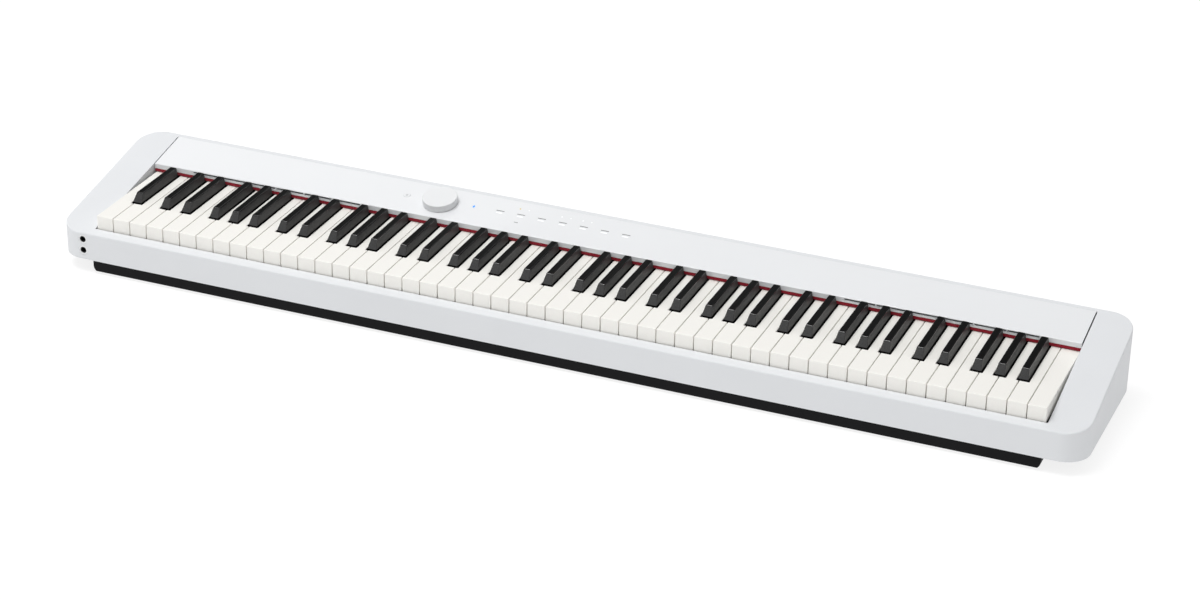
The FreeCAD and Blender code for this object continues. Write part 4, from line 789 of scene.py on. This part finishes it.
@dataclass
class ControlPanel:
    """The gloss panel with the wall behind the keys, its marks, lights and felt."""

    finishes: Finishes
    half_x: float = 611.6 * MM
    front_y: float = 46 * MM
    rear_y: float = 109.8 * MM
    thickness: float = 2.5 * MM
    wall: float = 2.4 * MM
    wall_low: float = 79.4 * MM
    front_radius: float = 1.3 * MM
    slot_z: tuple[float, float] = (82.3 * MM, 84.7 * MM)
    slot_x: tuple[tuple[float, float], ...] = ((-555.5 * MM, -317.5 * MM),
                                               (323 * MM, 561 * MM))
    slot_bridge: float = 1.6 * MM
    slot_cells: int = 6
    felt_low: float = 75.2 * MM
    felt_swell: float = 0.03 * MM
    power: tuple[float, float] = (-267.8 * MM, 79.9 * MM)
    power_radius: float = 4.6 * MM
    power_gap: float = 0.12 * MM
    led_gap: float = 0.03 * MM
    shaft_hole: float = 4.0 * MM
    lamp: tuple[float, float] = (-176.5 * MM, 82.5 * MM)
    knob: tuple[float, float] = (-220.5 * MM, 77.7 * MM)
    led_y: float = 95.2 * MM
    led_x: tuple[float, ...] = (-118.5 * MM, -106.5 * MM, -62 * MM, -50 * MM, -33.6 * MM,
                                -22 * MM)
    led_radius: float = 1.0 * MM
    touch_y: float = 84 * MM
    touch_x: float = -140.8 * MM
    touch_pitch: float = 28.2 * MM
    touch_count: int = 7
    mark_size: tuple[float, float] = (11.0 * MM, 1.2 * MM)
    small_mark_size: tuple[float, float] = (5.5 * MM, 0.9 * MM)
    small_mark: tuple[float, float] = (-112.5 * MM, 67.3 * MM)
    lens_size: tuple[float, float] = (8.4 * MM, 2.0 * MM)
    lens_below: float = 4.2 * MM
    lens_proud: float = 0.06 * MM
    lamp_size: tuple[float, float] = (2.4 * MM, 4.8 * MM)
    lit_x: float = -118.5 * MM
    dome_rise: float = 0.25 * MM
    ink: float = 0.05 * MM
    sunk: float = 0.1 * MM
    sign_radius: float = 1.2 * MM
    sign_width: float = 0.3 * MM
    sign_bar: tuple[float, float] = (0.2 * MM, 1.9 * MM)
    sign_lift: float = 0.35 * MM

    def build(self) -> None:
        """Build the panel and everything on it."""
        self.panel()
        self.felt()
        self.marks()
        self.lights()

    def slope_bar(self, place: tuple[float, float], radius: float) -> bpy.types.Object:
        """Make a cutter that stands on the slope at a place."""
        x, y = place
        return cutter_bar((x, y, float(SLOPE.height(y))), radius, 6 * self.thickness,
                          SLOPE.matrix)

    def panel(self) -> None:
        """Build the plate and its wall as one side view carried along X, with its right end face
        painted black as the seam's shadow, and cut its holes.
        """
        under = self.thickness / math.cos(SLOPE.angle)
        back = self.front_y + self.wall
        corners = [(self.rear_y, SLOPE.height(self.rear_y)),
                   (self.front_y, SLOPE.height(self.front_y)),
                   (self.front_y, self.wall_low), (back, self.wall_low),
                   (back, SLOPE.height(back) - under),
                   (self.rear_y, SLOPE.height(self.rear_y) - under)]
        fine = 0.3 * MM
        outline = rounded_outline(corners, [fine, self.front_radius, 2 * fine, fine, fine, fine],
                                  8)
        parts = MeshParts()
        # The cap at the right end takes base_black: a painted shadow in the seam beside the cheek.
        parts.add_rings(lengthwise_rings(outline, edge_rows(-self.half_x, self.half_x, fine, fine)),
                        0, 1)
        panel = parts.build("gloss_panel", [self.finishes["panel_white"],
                                            self.finishes["base_black"]], 30.0, weighted=False)
        cutters = []
        for low, high in self.slot_x:
            step = (high - low + self.slot_bridge) / self.slot_cells
            cutters += [cutter_block((low + step * i, low + step * (i + 1) - self.slot_bridge),
                                     (self.front_y - self.wall, back + fine), self.slot_z)
                        for i in range(self.slot_cells)]
        cutters += [self.slope_bar(self.power, self.power_radius + self.power_gap),
                    self.slope_bar(self.knob, self.shaft_hole)]
        cutters += [self.slope_bar((x, self.led_y), self.led_radius + self.led_gap)
                    for x in self.led_x]
        cut_away(panel, cutters)
        panel.data.set_sharp_from_angle(angle=math.radians(30))
        weigh_normals(panel)
        settle(panel, "case", "panel_white", "top_panel")

    def felt(self) -> None:
        """Build the felt strip, whose face swells and dips a little along its length.

        The section is a rounded oblong; its inset is swell * (3 + the sum of three sines of x).
        """
        outline = rounded_outline(rectangle((self.front_y, self.front_y + self.wall),
                                            (self.felt_low, self.wall_low)), 0.6 * MM, 3)
        x = np.linspace(-self.half_x, self.half_x, 900)
        waves = np.sin(x * 410) + np.sin(x * 947 + 1) + np.sin(x * 1733 + 2)
        swell = self.felt_swell * (waves + 3)
        rings = np.stack([np.column_stack([np.full(len(outline.points), place),
                                           outline.inset(inset)])
                          for place, inset in zip(x, swell)])
        parts = MeshParts()
        parts.add_rings(rings)
        felt = parts.build("felt_strip", [self.finishes["felt_red"]], 60.0, weighted=False)
        settle(felt, "case", "felt_red", "red_felt_strip")

    def flat_shape(self, parts: MeshParts, outline: Outline, centre: tuple[float, float],
                   height: float) -> None:
        """Add a flat printed or lit shape that stands a little proud of the panel.

        Args:
            parts: Where the shape goes.
            outline: Its outline about its own centre.
            centre: The place on the panel.
            height: How proud it stands.
        """
        rings = upright_rings(outline, [(0.0, -self.sunk), (0.0, height / 2),
                                        (height / 2, height)])
        parts.add_rings(SLOPE.lay(rings, centre))

    def bar(self, length: float, width: float) -> Outline:
        """Outline of a bar with round ends, about its centre."""
        return rounded_outline(rectangle((-length / 2, length / 2), (-width / 2, width / 2)),
                               min(length, width) / 2.02, 4)

    def touch_places(self) -> list[tuple[float, float]]:
        """Places of the touch keys."""
        return [(self.touch_x + self.touch_pitch * i, self.touch_y)
                for i in range(self.touch_count)]

    def marks(self) -> None:
        """Build the printed marks: a plain bar on each touch key, and the power sign."""
        parts = MeshParts()
        for place in self.touch_places():
            self.flat_shape(parts, self.bar(*self.mark_size), place, self.ink)
        self.flat_shape(parts, self.bar(*self.small_mark_size), self.small_mark, self.ink)
        self.power_sign(parts)
        marks = parts.build("printed_marks", [self.finishes["mark_grey"]], 30.0, weighted=False)
        settle(marks, "case", "ribbon_grey")

    def power_sign(self, parts: MeshParts) -> None:
        """Add the usual power sign on its button: a broken circle with an upright bar.

        The circle is (r cos a, r sin a) over all but the top seventy degrees, drawn at both of
        its edges, r + w / 2 and r - w / 2.
        """
        sweep = np.radians(np.linspace(125, 415, 30))
        around = np.column_stack([np.cos(sweep), np.sin(sweep)])
        width = self.sign_width
        loop = np.concatenate([around * (self.sign_radius + width / 2),
                               (around * (self.sign_radius - width / 2))[::-1]])
        heights = (self.sign_lift - self.sunk, self.sign_lift + self.ink)
        rings = np.stack([np.column_stack([loop, np.full(len(loop), h)]) for h in heights])
        parts.add_rings(SLOPE.lay(rings, self.power))
        bar = rounded_outline(rectangle((-width / 2, width / 2), self.sign_bar), 0.1 * MM, 2)
        parts.add_rings(SLOPE.lay(upright_rings(bar, [(0.0, h) for h in heights]), self.power))

    def lights(self) -> None:
        """Build the light pipes, the lit bars under the touch keys and the blue power lamp."""
        bars = MeshParts()
        for x, y in self.touch_places():
            self.flat_shape(bars, self.bar(*self.lens_size), (x, y - self.lens_below),
                            self.lens_proud)
        dots = MeshParts()
        dome = [(self.led_radius, -self.thickness)]
        dome += [(self.led_radius * math.cos(a), self.dome_rise * math.sin(a))
                 for a in np.linspace(0, 1.4, 5)]
        for x in self.led_x:
            finish = 1 if x == self.lit_x else 0
            dots.add_rings(SLOPE.lay(lathe_rings(dome, 24), (x, self.led_y)), finish)
        lamp = MeshParts()
        self.flat_shape(lamp, self.bar(*self.lamp_size), self.lamp, 2 * self.lens_proud)
        clear, yellow, blue = [self.finishes["lens_" + tint]
                               for tint in ("clear", "yellow", "blue")]
        settle(bars.build("touch_lights", [clear], 30.0), "case", "lens_clear")
        settle(dots.build("led_domes", [clear, yellow], 30.0), "case", "lens_clear", "led_lenses")
        settle(lamp.build("power_lamp", [blue], 30.0), "case", "lens_blue", "power_lamp_lens")


@dataclass
class Controls:
    """The volume knob and the power button."""

    finishes: Finishes
    knob: tuple[float, float] = (-220.5 * MM, 77.7 * MM)
    knob_radius: float = 22.2 * MM
    knob_low: float = 0.4 * MM
    knob_high: float = 9.4 * MM
    power: tuple[float, float] = (-267.8 * MM, 79.9 * MM)
    power_radius: float = 4.6 * MM
    power_high: float = 0.35 * MM
    power_low: float = -2.5 * MM

    def disc(self, radius: float, low: float, high: float, edge: float, dish: float,
             segments: int) -> np.ndarray:
        """Rings of a disc with rounded edges and a faintly dished face.

        The face is h(r) = high - dish * (1 - (r / r0)^2) inside the flat rim r0.

        Returns:
            The disc about its own axis.
        """
        rows = [(radius * 0.5, low), (radius - 0.3 * MM, low), (radius, low + 0.3 * MM)]
        rows += [(radius - edge * (1 - math.cos(a)), high - edge * (1 - math.sin(a)))
                 for a in np.linspace(0, math.pi / 2, 9)]
        rim = radius - 2.2 * edge
        rows += [(rim * f, high - dish * (1 - f * f)) for f in (1.0, 0.9, 0.75, 0.5, 0.25, 0.02)]
        return lathe_rings(rows, segments)

    def build(self) -> None:
        """Build the knob and the button."""
        knob = MeshParts()
        knob.add_rings(SLOPE.lay(self.disc(self.knob_radius, self.knob_low, self.knob_high,
                                           1.0 * MM, 0.25 * MM, 128), self.knob))
        settle(knob.build("volume_disc", [self.finishes["knob_white"]], 35.0), "volume_control",
               "knob_white", "volume_knob")
        button = MeshParts()
        button.add_rings(SLOPE.lay(self.disc(self.power_radius, self.power_low, self.power_high,
                                             0.4 * MM, 0.1 * MM, 64), self.power))
        settle(button.build("power_cap", [self.finishes["panel_white"]], 35.0), "power_push",
               "knob_white", "power_button")


@dataclass
class Keyboard:
    """The 88 keys, built as one piece for each note name."""

    finishes: Finishes
    pitch: float = 23.5 * MM
    gap: float = 1.0 * MM
    white_count: int = 52
    key_count: int = 88
    first_key: int = 9
    first_c_whites: int = -5
    top_z: float = 74.5 * MM
    skirt_z: float = 55.2 * MM
    front_y: float = -101.8 * MM
    back_y: float = 50 * MM
    wall: float = 1.6 * MM
    roof: float = 2.2 * MM
    black_width: float = 13.5 * MM
    black_low_width: float = 12.6 * MM
    black_top_width: float = 8.3 * MM
    black_height: float = 11.8 * MM
    black_front_y: float = -49.5 * MM
    black_top_front_y: float = -40.5 * MM
    black_back_y: float = 44.8 * MM
    black_skirt_z: float = 57.2 * MM
    black_clearance: float = 1.0 * MM
    foot_height: float = 0.9 * MM
    foot_inset: float = 0.1 * MM
    side_radius: float = 0.7 * MM
    front_radius: float = 1.1 * MM
    tail_y: tuple[float, float] = (36 * MM, 104 * MM)
    tail_z: tuple[float, float] = (51 * MM, 61 * MM)
    tail_width: float = 10 * MM
    pivot: tuple[float, float] = (98 * MM, 56 * MM)
    bore: float = 2.55 * MM
    tab_width: float = 6 * MM
    tab_depth: float = 4 * MM
    tab_y: float = -40 * MM
    tab_low: float = 34.8 * MM
    rib_y: float = 17 * MM
    rib_low: float = 54.4 * MM
    notes: tuple[str, ...] = ("c", "c_sharp", "d", "d_sharp", "e", "f", "f_sharp", "g",
                              "g_sharp", "a", "a_sharp", "b")
    white_places: dict[str, int] = field(default_factory=lambda: {
        "c": 0, "d": 1, "e": 2, "f": 3, "g": 4, "a": 5, "b": 6})
    black_places: dict[str, tuple[int, float]] = field(default_factory=lambda: {
        "c_sharp": (1, -3.0 * MM), "d_sharp": (2, 3.0 * MM), "f_sharp": (4, -4.0 * MM),
        "g_sharp": (5, 0.0), "a_sharp": (6, 4.0 * MM)})

    def octave_x(self, octave: int) -> float:
        """Left edge of the octave's C."""
        first = -self.pitch * self.white_count / 2
        return first + self.pitch * (self.first_c_whites + len(self.white_places) * octave)

    def black_centre(self, note: str, octave: int) -> float:
        """Centre of a black key."""
        whites, offset = self.black_places[note]
        return self.octave_x(octave) + self.pitch * whites + offset

    def places(self, note: str) -> list[tuple[int, tuple[bool, bool]]]:
        """Octaves of a note, with whether a key is on its left and on its right."""
        order = self.notes.index(note)
        last = self.first_key + self.key_count - 1
        return [(number // len(self.notes), (number > self.first_key, number < last))
                for number in range(self.first_key, last + 1)
                if number % len(self.notes) == order]

    def stem(self, note: str, octave: int, ends: tuple[bool, bool]) -> tuple[float, float]:
        """Left and right side of a white key between its black neighbours."""
        left = self.octave_x(octave) + self.pitch * self.white_places[note] + self.gap / 2
        right = left + self.pitch - self.gap
        half = self.black_width / 2 + self.black_clearance
        order = self.notes.index(note)
        before = self.notes[(order - 1) % len(self.notes)]
        after = self.notes[(order + 1) % len(self.notes)]
        if before in self.black_places and ends[0]:
            left = self.black_centre(before, octave) + half
        if after in self.black_places and ends[1]:
            right = self.black_centre(after, octave) - half
        return left, right

    def white_corners(self, head: tuple[float, float], stem: tuple[float, float],
                      inset: float) -> list[tuple[float, float]]:
        """Plan of a white key, drawn in by inset, counter-clockwise."""
        notch = self.black_front_y - self.black_clearance - inset
        front, back = self.front_y + inset, self.back_y - inset
        left, right = head[0] + inset, head[1] - inset
        stem_left, stem_right = stem[0] + inset, stem[1] - inset
        corners = [(left, front), (right, front)]
        if stem[1] < head[1]:
            corners += [(right, notch), (stem_right, notch)]
        corners += [(stem_right, back), (stem_left, back)]
        if stem[0] > head[0]:
            corners += [(stem_left, notch), (left, notch)]
        return corners

    def fittings(self, parts: MeshParts, centre: float) -> None:
        """Add the tail with its pivot eye, the hammer's tab and the contacts' rib.

        The eye is a closed ring of loops: a square about the pivot, and the bore's circle.

        Args:
            parts: Where the fittings go.
            centre: The key's centre line.
        """
        x = (centre - self.tail_width / 2, centre + self.tail_width / 2)
        eye_y = 2 * self.pivot[0] - self.tail_y[1]
        block(parts, x, (self.tail_y[0], eye_y), self.tail_z)
        square = rounded_outline(rectangle((eye_y, self.tail_y[1]), self.tail_z), 0.5 * MM, 4)
        spokes = square.points - np.array(self.pivot)
        circle = spokes / np.linalg.norm(spokes, axis=1)[:, None] * self.bore + np.array(self.pivot)
        loops = [(x[0], square.points), (x[1], square.points), (x[1], circle), (x[0], circle)]
        rings = np.stack([np.column_stack([np.full(len(p), place), p]) for place, p in loops])
        parts.add_rings(rings, closed_rows=True)
        half = self.tab_width / 2
        roof = self.top_z - self.roof / 2
        for y, low in ((self.tab_y, self.tab_low), (self.rib_y, self.rib_low)):
            block(parts, (centre - half, centre + half),
                  (y - self.tab_depth / 2, y + self.tab_depth / 2), (low, roof))

    def white_key(self, parts: MeshParts, note: str, octave: int, ends: tuple[bool, bool]) -> None:
        """Add one hollow white key: up the inside, round the skirt and up the outside.

        Each row of the grid is the plan outline at an inset and a height; the inner rows use
        the plan drawn in by the wall.

        Args:
            parts: Where the key goes.
            note: Its note name.
            octave: Its octave.
            ends: Whether a key is on its left and on its right.
        """
        left = self.octave_x(octave) + self.pitch * self.white_places[note] + self.gap / 2
        head = (left, left + self.pitch - self.gap)
        stem = self.stem(note, octave, ends)
        outer = rounded_outline(self.white_corners(head, stem, 0.0), 1.0 * MM, 4)
        inner = rounded_outline(self.white_corners(head, stem, self.wall), 0.25 * MM, 4)
        rows = edge_rows(self.skirt_z, self.top_z, 0.25 * MM, 0.9 * MM, 5)
        inside = upright_rings(inner, [(0.0, self.top_z - self.roof), (0.0, self.skirt_z)])
        parts.add_rings(np.concatenate([inside, upright_rings(outer, rows)]))
        centre = sum(self.stem(note, octave, (True, True))) / 2
        self.fittings(parts, centre)

    def black_rows(self) -> np.ndarray:
        """Work out the leaning part of a black key as (height, half width, front, back, corner).

        The sides lean by a straight line from the lower to the upper width, and the front by
        one from the lower to the upper front. Near the top they turn over by an arc,
        w = c + sqrt(r^2 - (z - c_z)^2), with one r at the sides and another in front.

        Returns:
            One row for each loop, from the foot to the top.
        """
        top = self.top_z + self.black_height
        turn = max(self.side_radius, self.front_radius)
        low = self.top_z + self.foot_height
        sweep = np.linspace(0, math.pi / 2, 12)
        heights = np.concatenate([np.linspace(low, top - turn, 5)[:-1],
                                  top - turn * (1 - np.sin(sweep))])
        share = (heights - self.top_z) / self.black_height
        lean = (self.black_low_width - self.black_top_width) / 2
        rise = self.black_top_front_y - self.black_front_y

        def turned(radius: float, angle: float) -> np.ndarray:
            """How far a leaning face has turned in at each height, past its straight line."""
            tangent = radius * math.tan((math.pi / 2 - angle) / 2)
            centre_z = top - radius
            above = np.clip(heights - centre_z, 0, radius)
            arc = np.sqrt(np.maximum(radius ** 2 - above ** 2, 0.0))
            line = (top - heights) * math.tan(angle)
            start = centre_z + radius * math.sin(angle)
            return np.where(heights > start, line - (arc - tangent), 0.0)

        side = turned(self.side_radius, math.atan2(lean, self.black_height))
        half = self.black_low_width / 2 - lean * share - side
        front = (self.black_front_y + rise * share
                 + turned(self.front_radius, math.atan2(rise, self.black_height)))
        back = self.black_back_y - turned(self.side_radius, 0.0)
        return np.column_stack([heights, half, front, back,
                                np.full(len(heights), self.side_radius)])

    def black_key(self, parts: MeshParts, note: str, octave: int) -> None:
        """Add one black key: the body with its foot, and the leaning part above.

        The inside and the skirt are one grid of loops and the foot is another; both take the darker
        copy of the finish, painted shade. Each loop of the leaning part is a rounded oblong from
        black_rows; its sides take the lighter copy, painted light, and the rounding at its top
        takes the lighter, glossier copy of the edges, a painted highlight.

        Args:
            parts: Where the key goes.
            note: Its note name.
            octave: Its octave.
        """
        centre = self.black_centre(note, octave)
        half = self.black_width / 2
        body = rounded_outline(rectangle((centre - half, centre + half),
                                         (self.black_front_y, self.back_y)), 0.4 * MM, 4)
        inner = rounded_outline(rectangle((centre - half + self.wall, centre + half - self.wall),
                                          (self.black_front_y + self.wall,
                                           self.back_y - self.wall)), 0.25 * MM, 4)
        rows = edge_rows(self.black_skirt_z, self.top_z, 0.25 * MM, 0.3 * MM, 3)
        inside = upright_rings(inner, [(0.0, self.top_z - self.roof), (0.0, self.black_skirt_z)])
        # Body and skirt take the darker copy: painted shade beside the key.
        parts.add_rings(np.concatenate([inside, upright_rings(body, rows)]), 2)
        inset = self.foot_inset
        foot = rectangle((centre - half + inset, centre + half - inset),
                         (self.black_front_y, self.black_back_y))
        # The foot takes the darker copy too: painted shade.
        parts.add_rings(upright_rings(rounded_outline(foot, 0.35 * MM, 3),
                                      edge_rows(self.top_z - 0.6 * MM,
                                                self.top_z + self.foot_height + 0.2 * MM,
                                                0.1 * MM, 0.25 * MM, 3)), 2)
        loops = []
        table = self.black_rows()
        for height, half, front, back, corner in table:
            flat = rounded_outline(rectangle((centre - half, centre + half), (front, back)),
                                   corner, 6, 8)
            loops.append(np.column_stack([flat.points, np.full(len(flat.points), height)]))
        rings = np.stack(loops)
        first = len(parts.finishes)
        # Sides take the lighter copy, painted light; the cap at the top takes the main finish.
        parts.add_rings(rings, 1, 0)
        leaning = int(np.sum(table[:, 0] < self.top_z + self.black_height - self.front_radius))
        turned_over = (len(rings) - 1 - leaning) * rings.shape[1]
        start = first + leaning * rings.shape[1]
        # The top rounding takes the lighter, glossier copy: a painted highlight.
        parts.finishes[start:start + turned_over] = [3] * turned_over
        self.fittings(parts, centre)

    def build(self) -> None:
        """Build every note's keys."""
        for note in self.notes:
            colour = KeyColour.BLACK if note in self.black_places else KeyColour.WHITE
            parts = MeshParts()
            for octave, ends in self.places(note):
                if colour is KeyColour.BLACK:
                    self.black_key(parts, note, octave)
                else:
                    self.white_key(parts, note, octave, ends)
            piece = parts.build(f"{colour.value}_keys_{note}",
                                [self.finishes[skin] for skin in colour.skins], 34.0)
            settle(piece, "key_" + note, colour.slot, "keys_" + note)


@dataclass
class KeptNodes:
    """The CAD nodes whose own shape is shown, dressed by the record's slots."""

    finishes: Finishes

    def dress(self) -> None:
        """Give every node of the frame the finish of its slot."""
        for part in frame["record"]["subparts"]:
            node = frame["nodes"][part["node"]]
            material = self.finishes[part["material_slot"]]
            if not node.material_slots:
                node.data.materials.append(material)
            for place in node.material_slots:
                place.link = "OBJECT"
                place.material = material
            LOG.info("%s takes %s", part["node"], part["material_slot"])


# ---------------------------------------------------------------------------------------------
# the studio
# ---------------------------------------------------------------------------------------------
@dataclass(frozen=True)
class SoftLight:
    """A rectangular studio light that looks at one point."""

    name: str
    place: tuple[float, float, float]
    target: tuple[float, float, float]
    size: tuple[float, float]
    power: float
    edge: tuple[float, float, float] | None = None

    def build(self) -> None:
        """Add the light."""
        lamp = bpy.data.lights.new(self.name, "AREA")
        lamp.shape = "RECTANGLE"
        lamp.size, lamp.size_y = self.size
        lamp.energy = self.power
        light = bpy.data.objects.new(self.name, lamp)
        light.location = self.place
        back = np.array(self.place) - np.array(self.target)
        back /= np.linalg.norm(back)
        along = np.array(self.edge or (1.0, 0.0, 0.0))
        along = along - back * (along @ back)
        along /= np.linalg.norm(along)
        turn = Matrix(np.column_stack([along, np.cross(back, along), back]).tolist())
        light.rotation_euler = turn.to_euler()
        light.visible_camera = False
        bpy.context.scene.collection.objects.link(light)


@dataclass
class Studio:
    """Pale floor, soft light and the camera."""

    world_strength: float = 0.52
    azimuth_deg: float = 21.85
    elevation_deg: float = 26.554
    roll_deg: float = 1.164
    distance: float = 3.692
    shift_right: float = 0.0277
    shift_up: float = 0.0347
    target_z: float = -0.0022
    lens_mm: float = 90.57
    floor_half: float = 12.0
    floor_drop: float = 0.1 * MM

    def build(self) -> None:
        """Build the studio."""
        self.world()
        self.floor()
        self.camera()
        for light in (
            SoftLight("key_light", (-1.6, -1.3, 6.5), (0.0, 0.0, 0.0), (3.4, 2.6), 262.0),
            self.panel_light(),
        ):
            light.build()

    def panel_light(self) -> SoftLight:
        """Softbox over the panel, parallel to it, whose edge shows in its gloss.

        The edge's middle is the point of the panel that mirrors it, plus a distance times the
        mirrored ray. The box reaches from that edge to the left.

        Returns:
            The light.
        """
        mirror_point = np.array([-0.3285, 0.0848, 0.0937])
        mirrored_ray = np.array([-0.333, 0.600, 0.727])
        edge = np.array([0.051, 0.0535, 0.0105])
        edge /= np.linalg.norm(edge)
        normal = np.array([0.0, -math.sin(SLOPE.angle), math.cos(SLOPE.angle)])
        width, depth = 4.0, 2.2
        sideways = np.cross(normal, edge)
        centre = mirror_point + 3.0 * mirrored_ray + sideways * depth / 2
        return SoftLight("panel_light", tuple(centre), tuple(centre - normal), (width, depth),
                         18.0, tuple(edge))

    def world(self) -> None:
        """Make a soft pale sky that is dark low down at the back and dimmer to the right.

        With d the direction of view and s(a, b, t) a smooth step from a to b, the strength is
        w * (1 - 0.9 * s(0.35, 0.65, d_y) * s(0.62, 0.5, d_z)) * (1 - 0.15 * s(0.2, 0.9, d_x)).
        """
        world = bpy.data.worlds.new("pale_sky")
        world.use_nodes = True
        tree = world.node_tree
        background = tree.nodes["Background"]
        background.inputs["Color"].default_value = (1, 1, 1, 1)
        direction = tree.nodes.new("ShaderNodeSeparateXYZ")
        tree.links.new(tree.nodes.new("ShaderNodeTexCoord").outputs["Generated"],
                       direction.inputs["Vector"])

        def step(axis: str, start: float, end: float, low: float,
                 high: float) -> bpy.types.NodeSocket:
            """Smooth step of one part of the direction, from low to high."""
            node = tree.nodes.new("ShaderNodeMapRange")
            node.interpolation_type = "SMOOTHSTEP"
            for name, value in (("From Min", start), ("From Max", end), ("To Min", low),
                                ("To Max", high)):
                node.inputs[name].default_value = value
            tree.links.new(direction.outputs[axis], node.inputs["Value"])
            return node.outputs["Result"]

        def combine(kind: str, first: object, second: object) -> bpy.types.NodeSocket:
            """Join two sockets or numbers by one sum."""
            node = tree.nodes.new("ShaderNodeMath")
            node.operation = kind
            for socket, value in zip(node.inputs, (first, second)):
                if isinstance(value, float):
                    socket.default_value = value
                else:
                    tree.links.new(value, socket)
            return node.outputs["Value"]

        dark = combine("MULTIPLY", step("Y", 0.35, 0.65, 0.0, 0.9), step("Z", 0.5, 0.62, 1.0, 0.0))
        bright = combine("MULTIPLY", combine("SUBTRACT", 1.0, dark),
                         step("X", 0.2, 0.9, self.world_strength, 0.85 * self.world_strength))
        tree.links.new(bright, background.inputs["Strength"])
        bpy.context.scene.world = world

    def floor(self) -> None:
        """Make the pale floor, a little self-lit so that it stays evenly pale."""
        half, low = self.floor_half, -self.floor_drop
        mesh = bpy.data.meshes.new("floor")
        corners = rectangle((-half, half), (-half, half))
        mesh.from_pydata([(x, y, low) for x, y in corners], [], [(0, 1, 2, 3)])
        floor = bpy.data.objects.new("floor", mesh)
        bpy.context.scene.collection.objects.link(floor)
        graph = NodeGraph("pale_floor")
        graph.shader.inputs["Specular IOR Level"].default_value = 0.0
        graph.shader.inputs["Emission Color"].default_value = (1, 1, 1, 1)
        graph.shader.inputs["Emission Strength"].default_value = 0.84
        cloud = graph.noise(3.0)
        mesh.materials.append(graph.finish(graph.blend(cloud, (0.22, 0.22, 0.22),
                                                       (0.23, 0.23, 0.23)),
                                           graph.spread(cloud, 0.9, 1.0)))

    def camera(self) -> None:
        """Place the camera by azimuth, elevation, roll and distance about the target."""
        a, e = math.radians(self.azimuth_deg), math.radians(self.elevation_deg)
        r = math.radians(self.roll_deg)
        back = np.array([math.sin(a) * math.cos(e), -math.cos(a) * math.cos(e), math.sin(e)])
        right = np.array([math.cos(a), math.sin(a), 0.0])
        up = np.cross(back, right)
        turned_right = right * math.cos(r) + up * math.sin(r)
        turned_up = -right * math.sin(r) + up * math.cos(r)
        place = (back * self.distance + turned_right * self.shift_right
                 + turned_up * self.shift_up + np.array([0, 0, self.target_z]))
        lens = bpy.data.cameras.new("camera")
        lens.lens = self.lens_mm
        lens.sensor_width = 36.0
        lens.clip_end = 100.0
        camera = bpy.data.objects.new("camera", lens)
        basis = Matrix(np.column_stack([turned_right, turned_up, back]).tolist()).to_4x4()
        camera.matrix_world = Matrix.Translation(Vector(place)) @ basis
        bpy.context.scene.collection.objects.link(camera)
        bpy.context.scene.camera = camera


def main() -> None:
    """Build the studio and the piano, and report each piece."""
    logging.basicConfig(level=logging.INFO, format="%(name)s: %(message)s", stream=sys.stdout)
    scene = bpy.context.scene
    scene.view_settings.view_transform = "Standard"
    Studio().build()
    finishes = Finishes()
    KeptNodes(finishes).dress()
    UpperShell(finishes).build()
    ControlPanel(finishes).build()
    Controls(finishes).build()
    Keyboard(finishes).build()


if __name__ == "__main__":
    main()
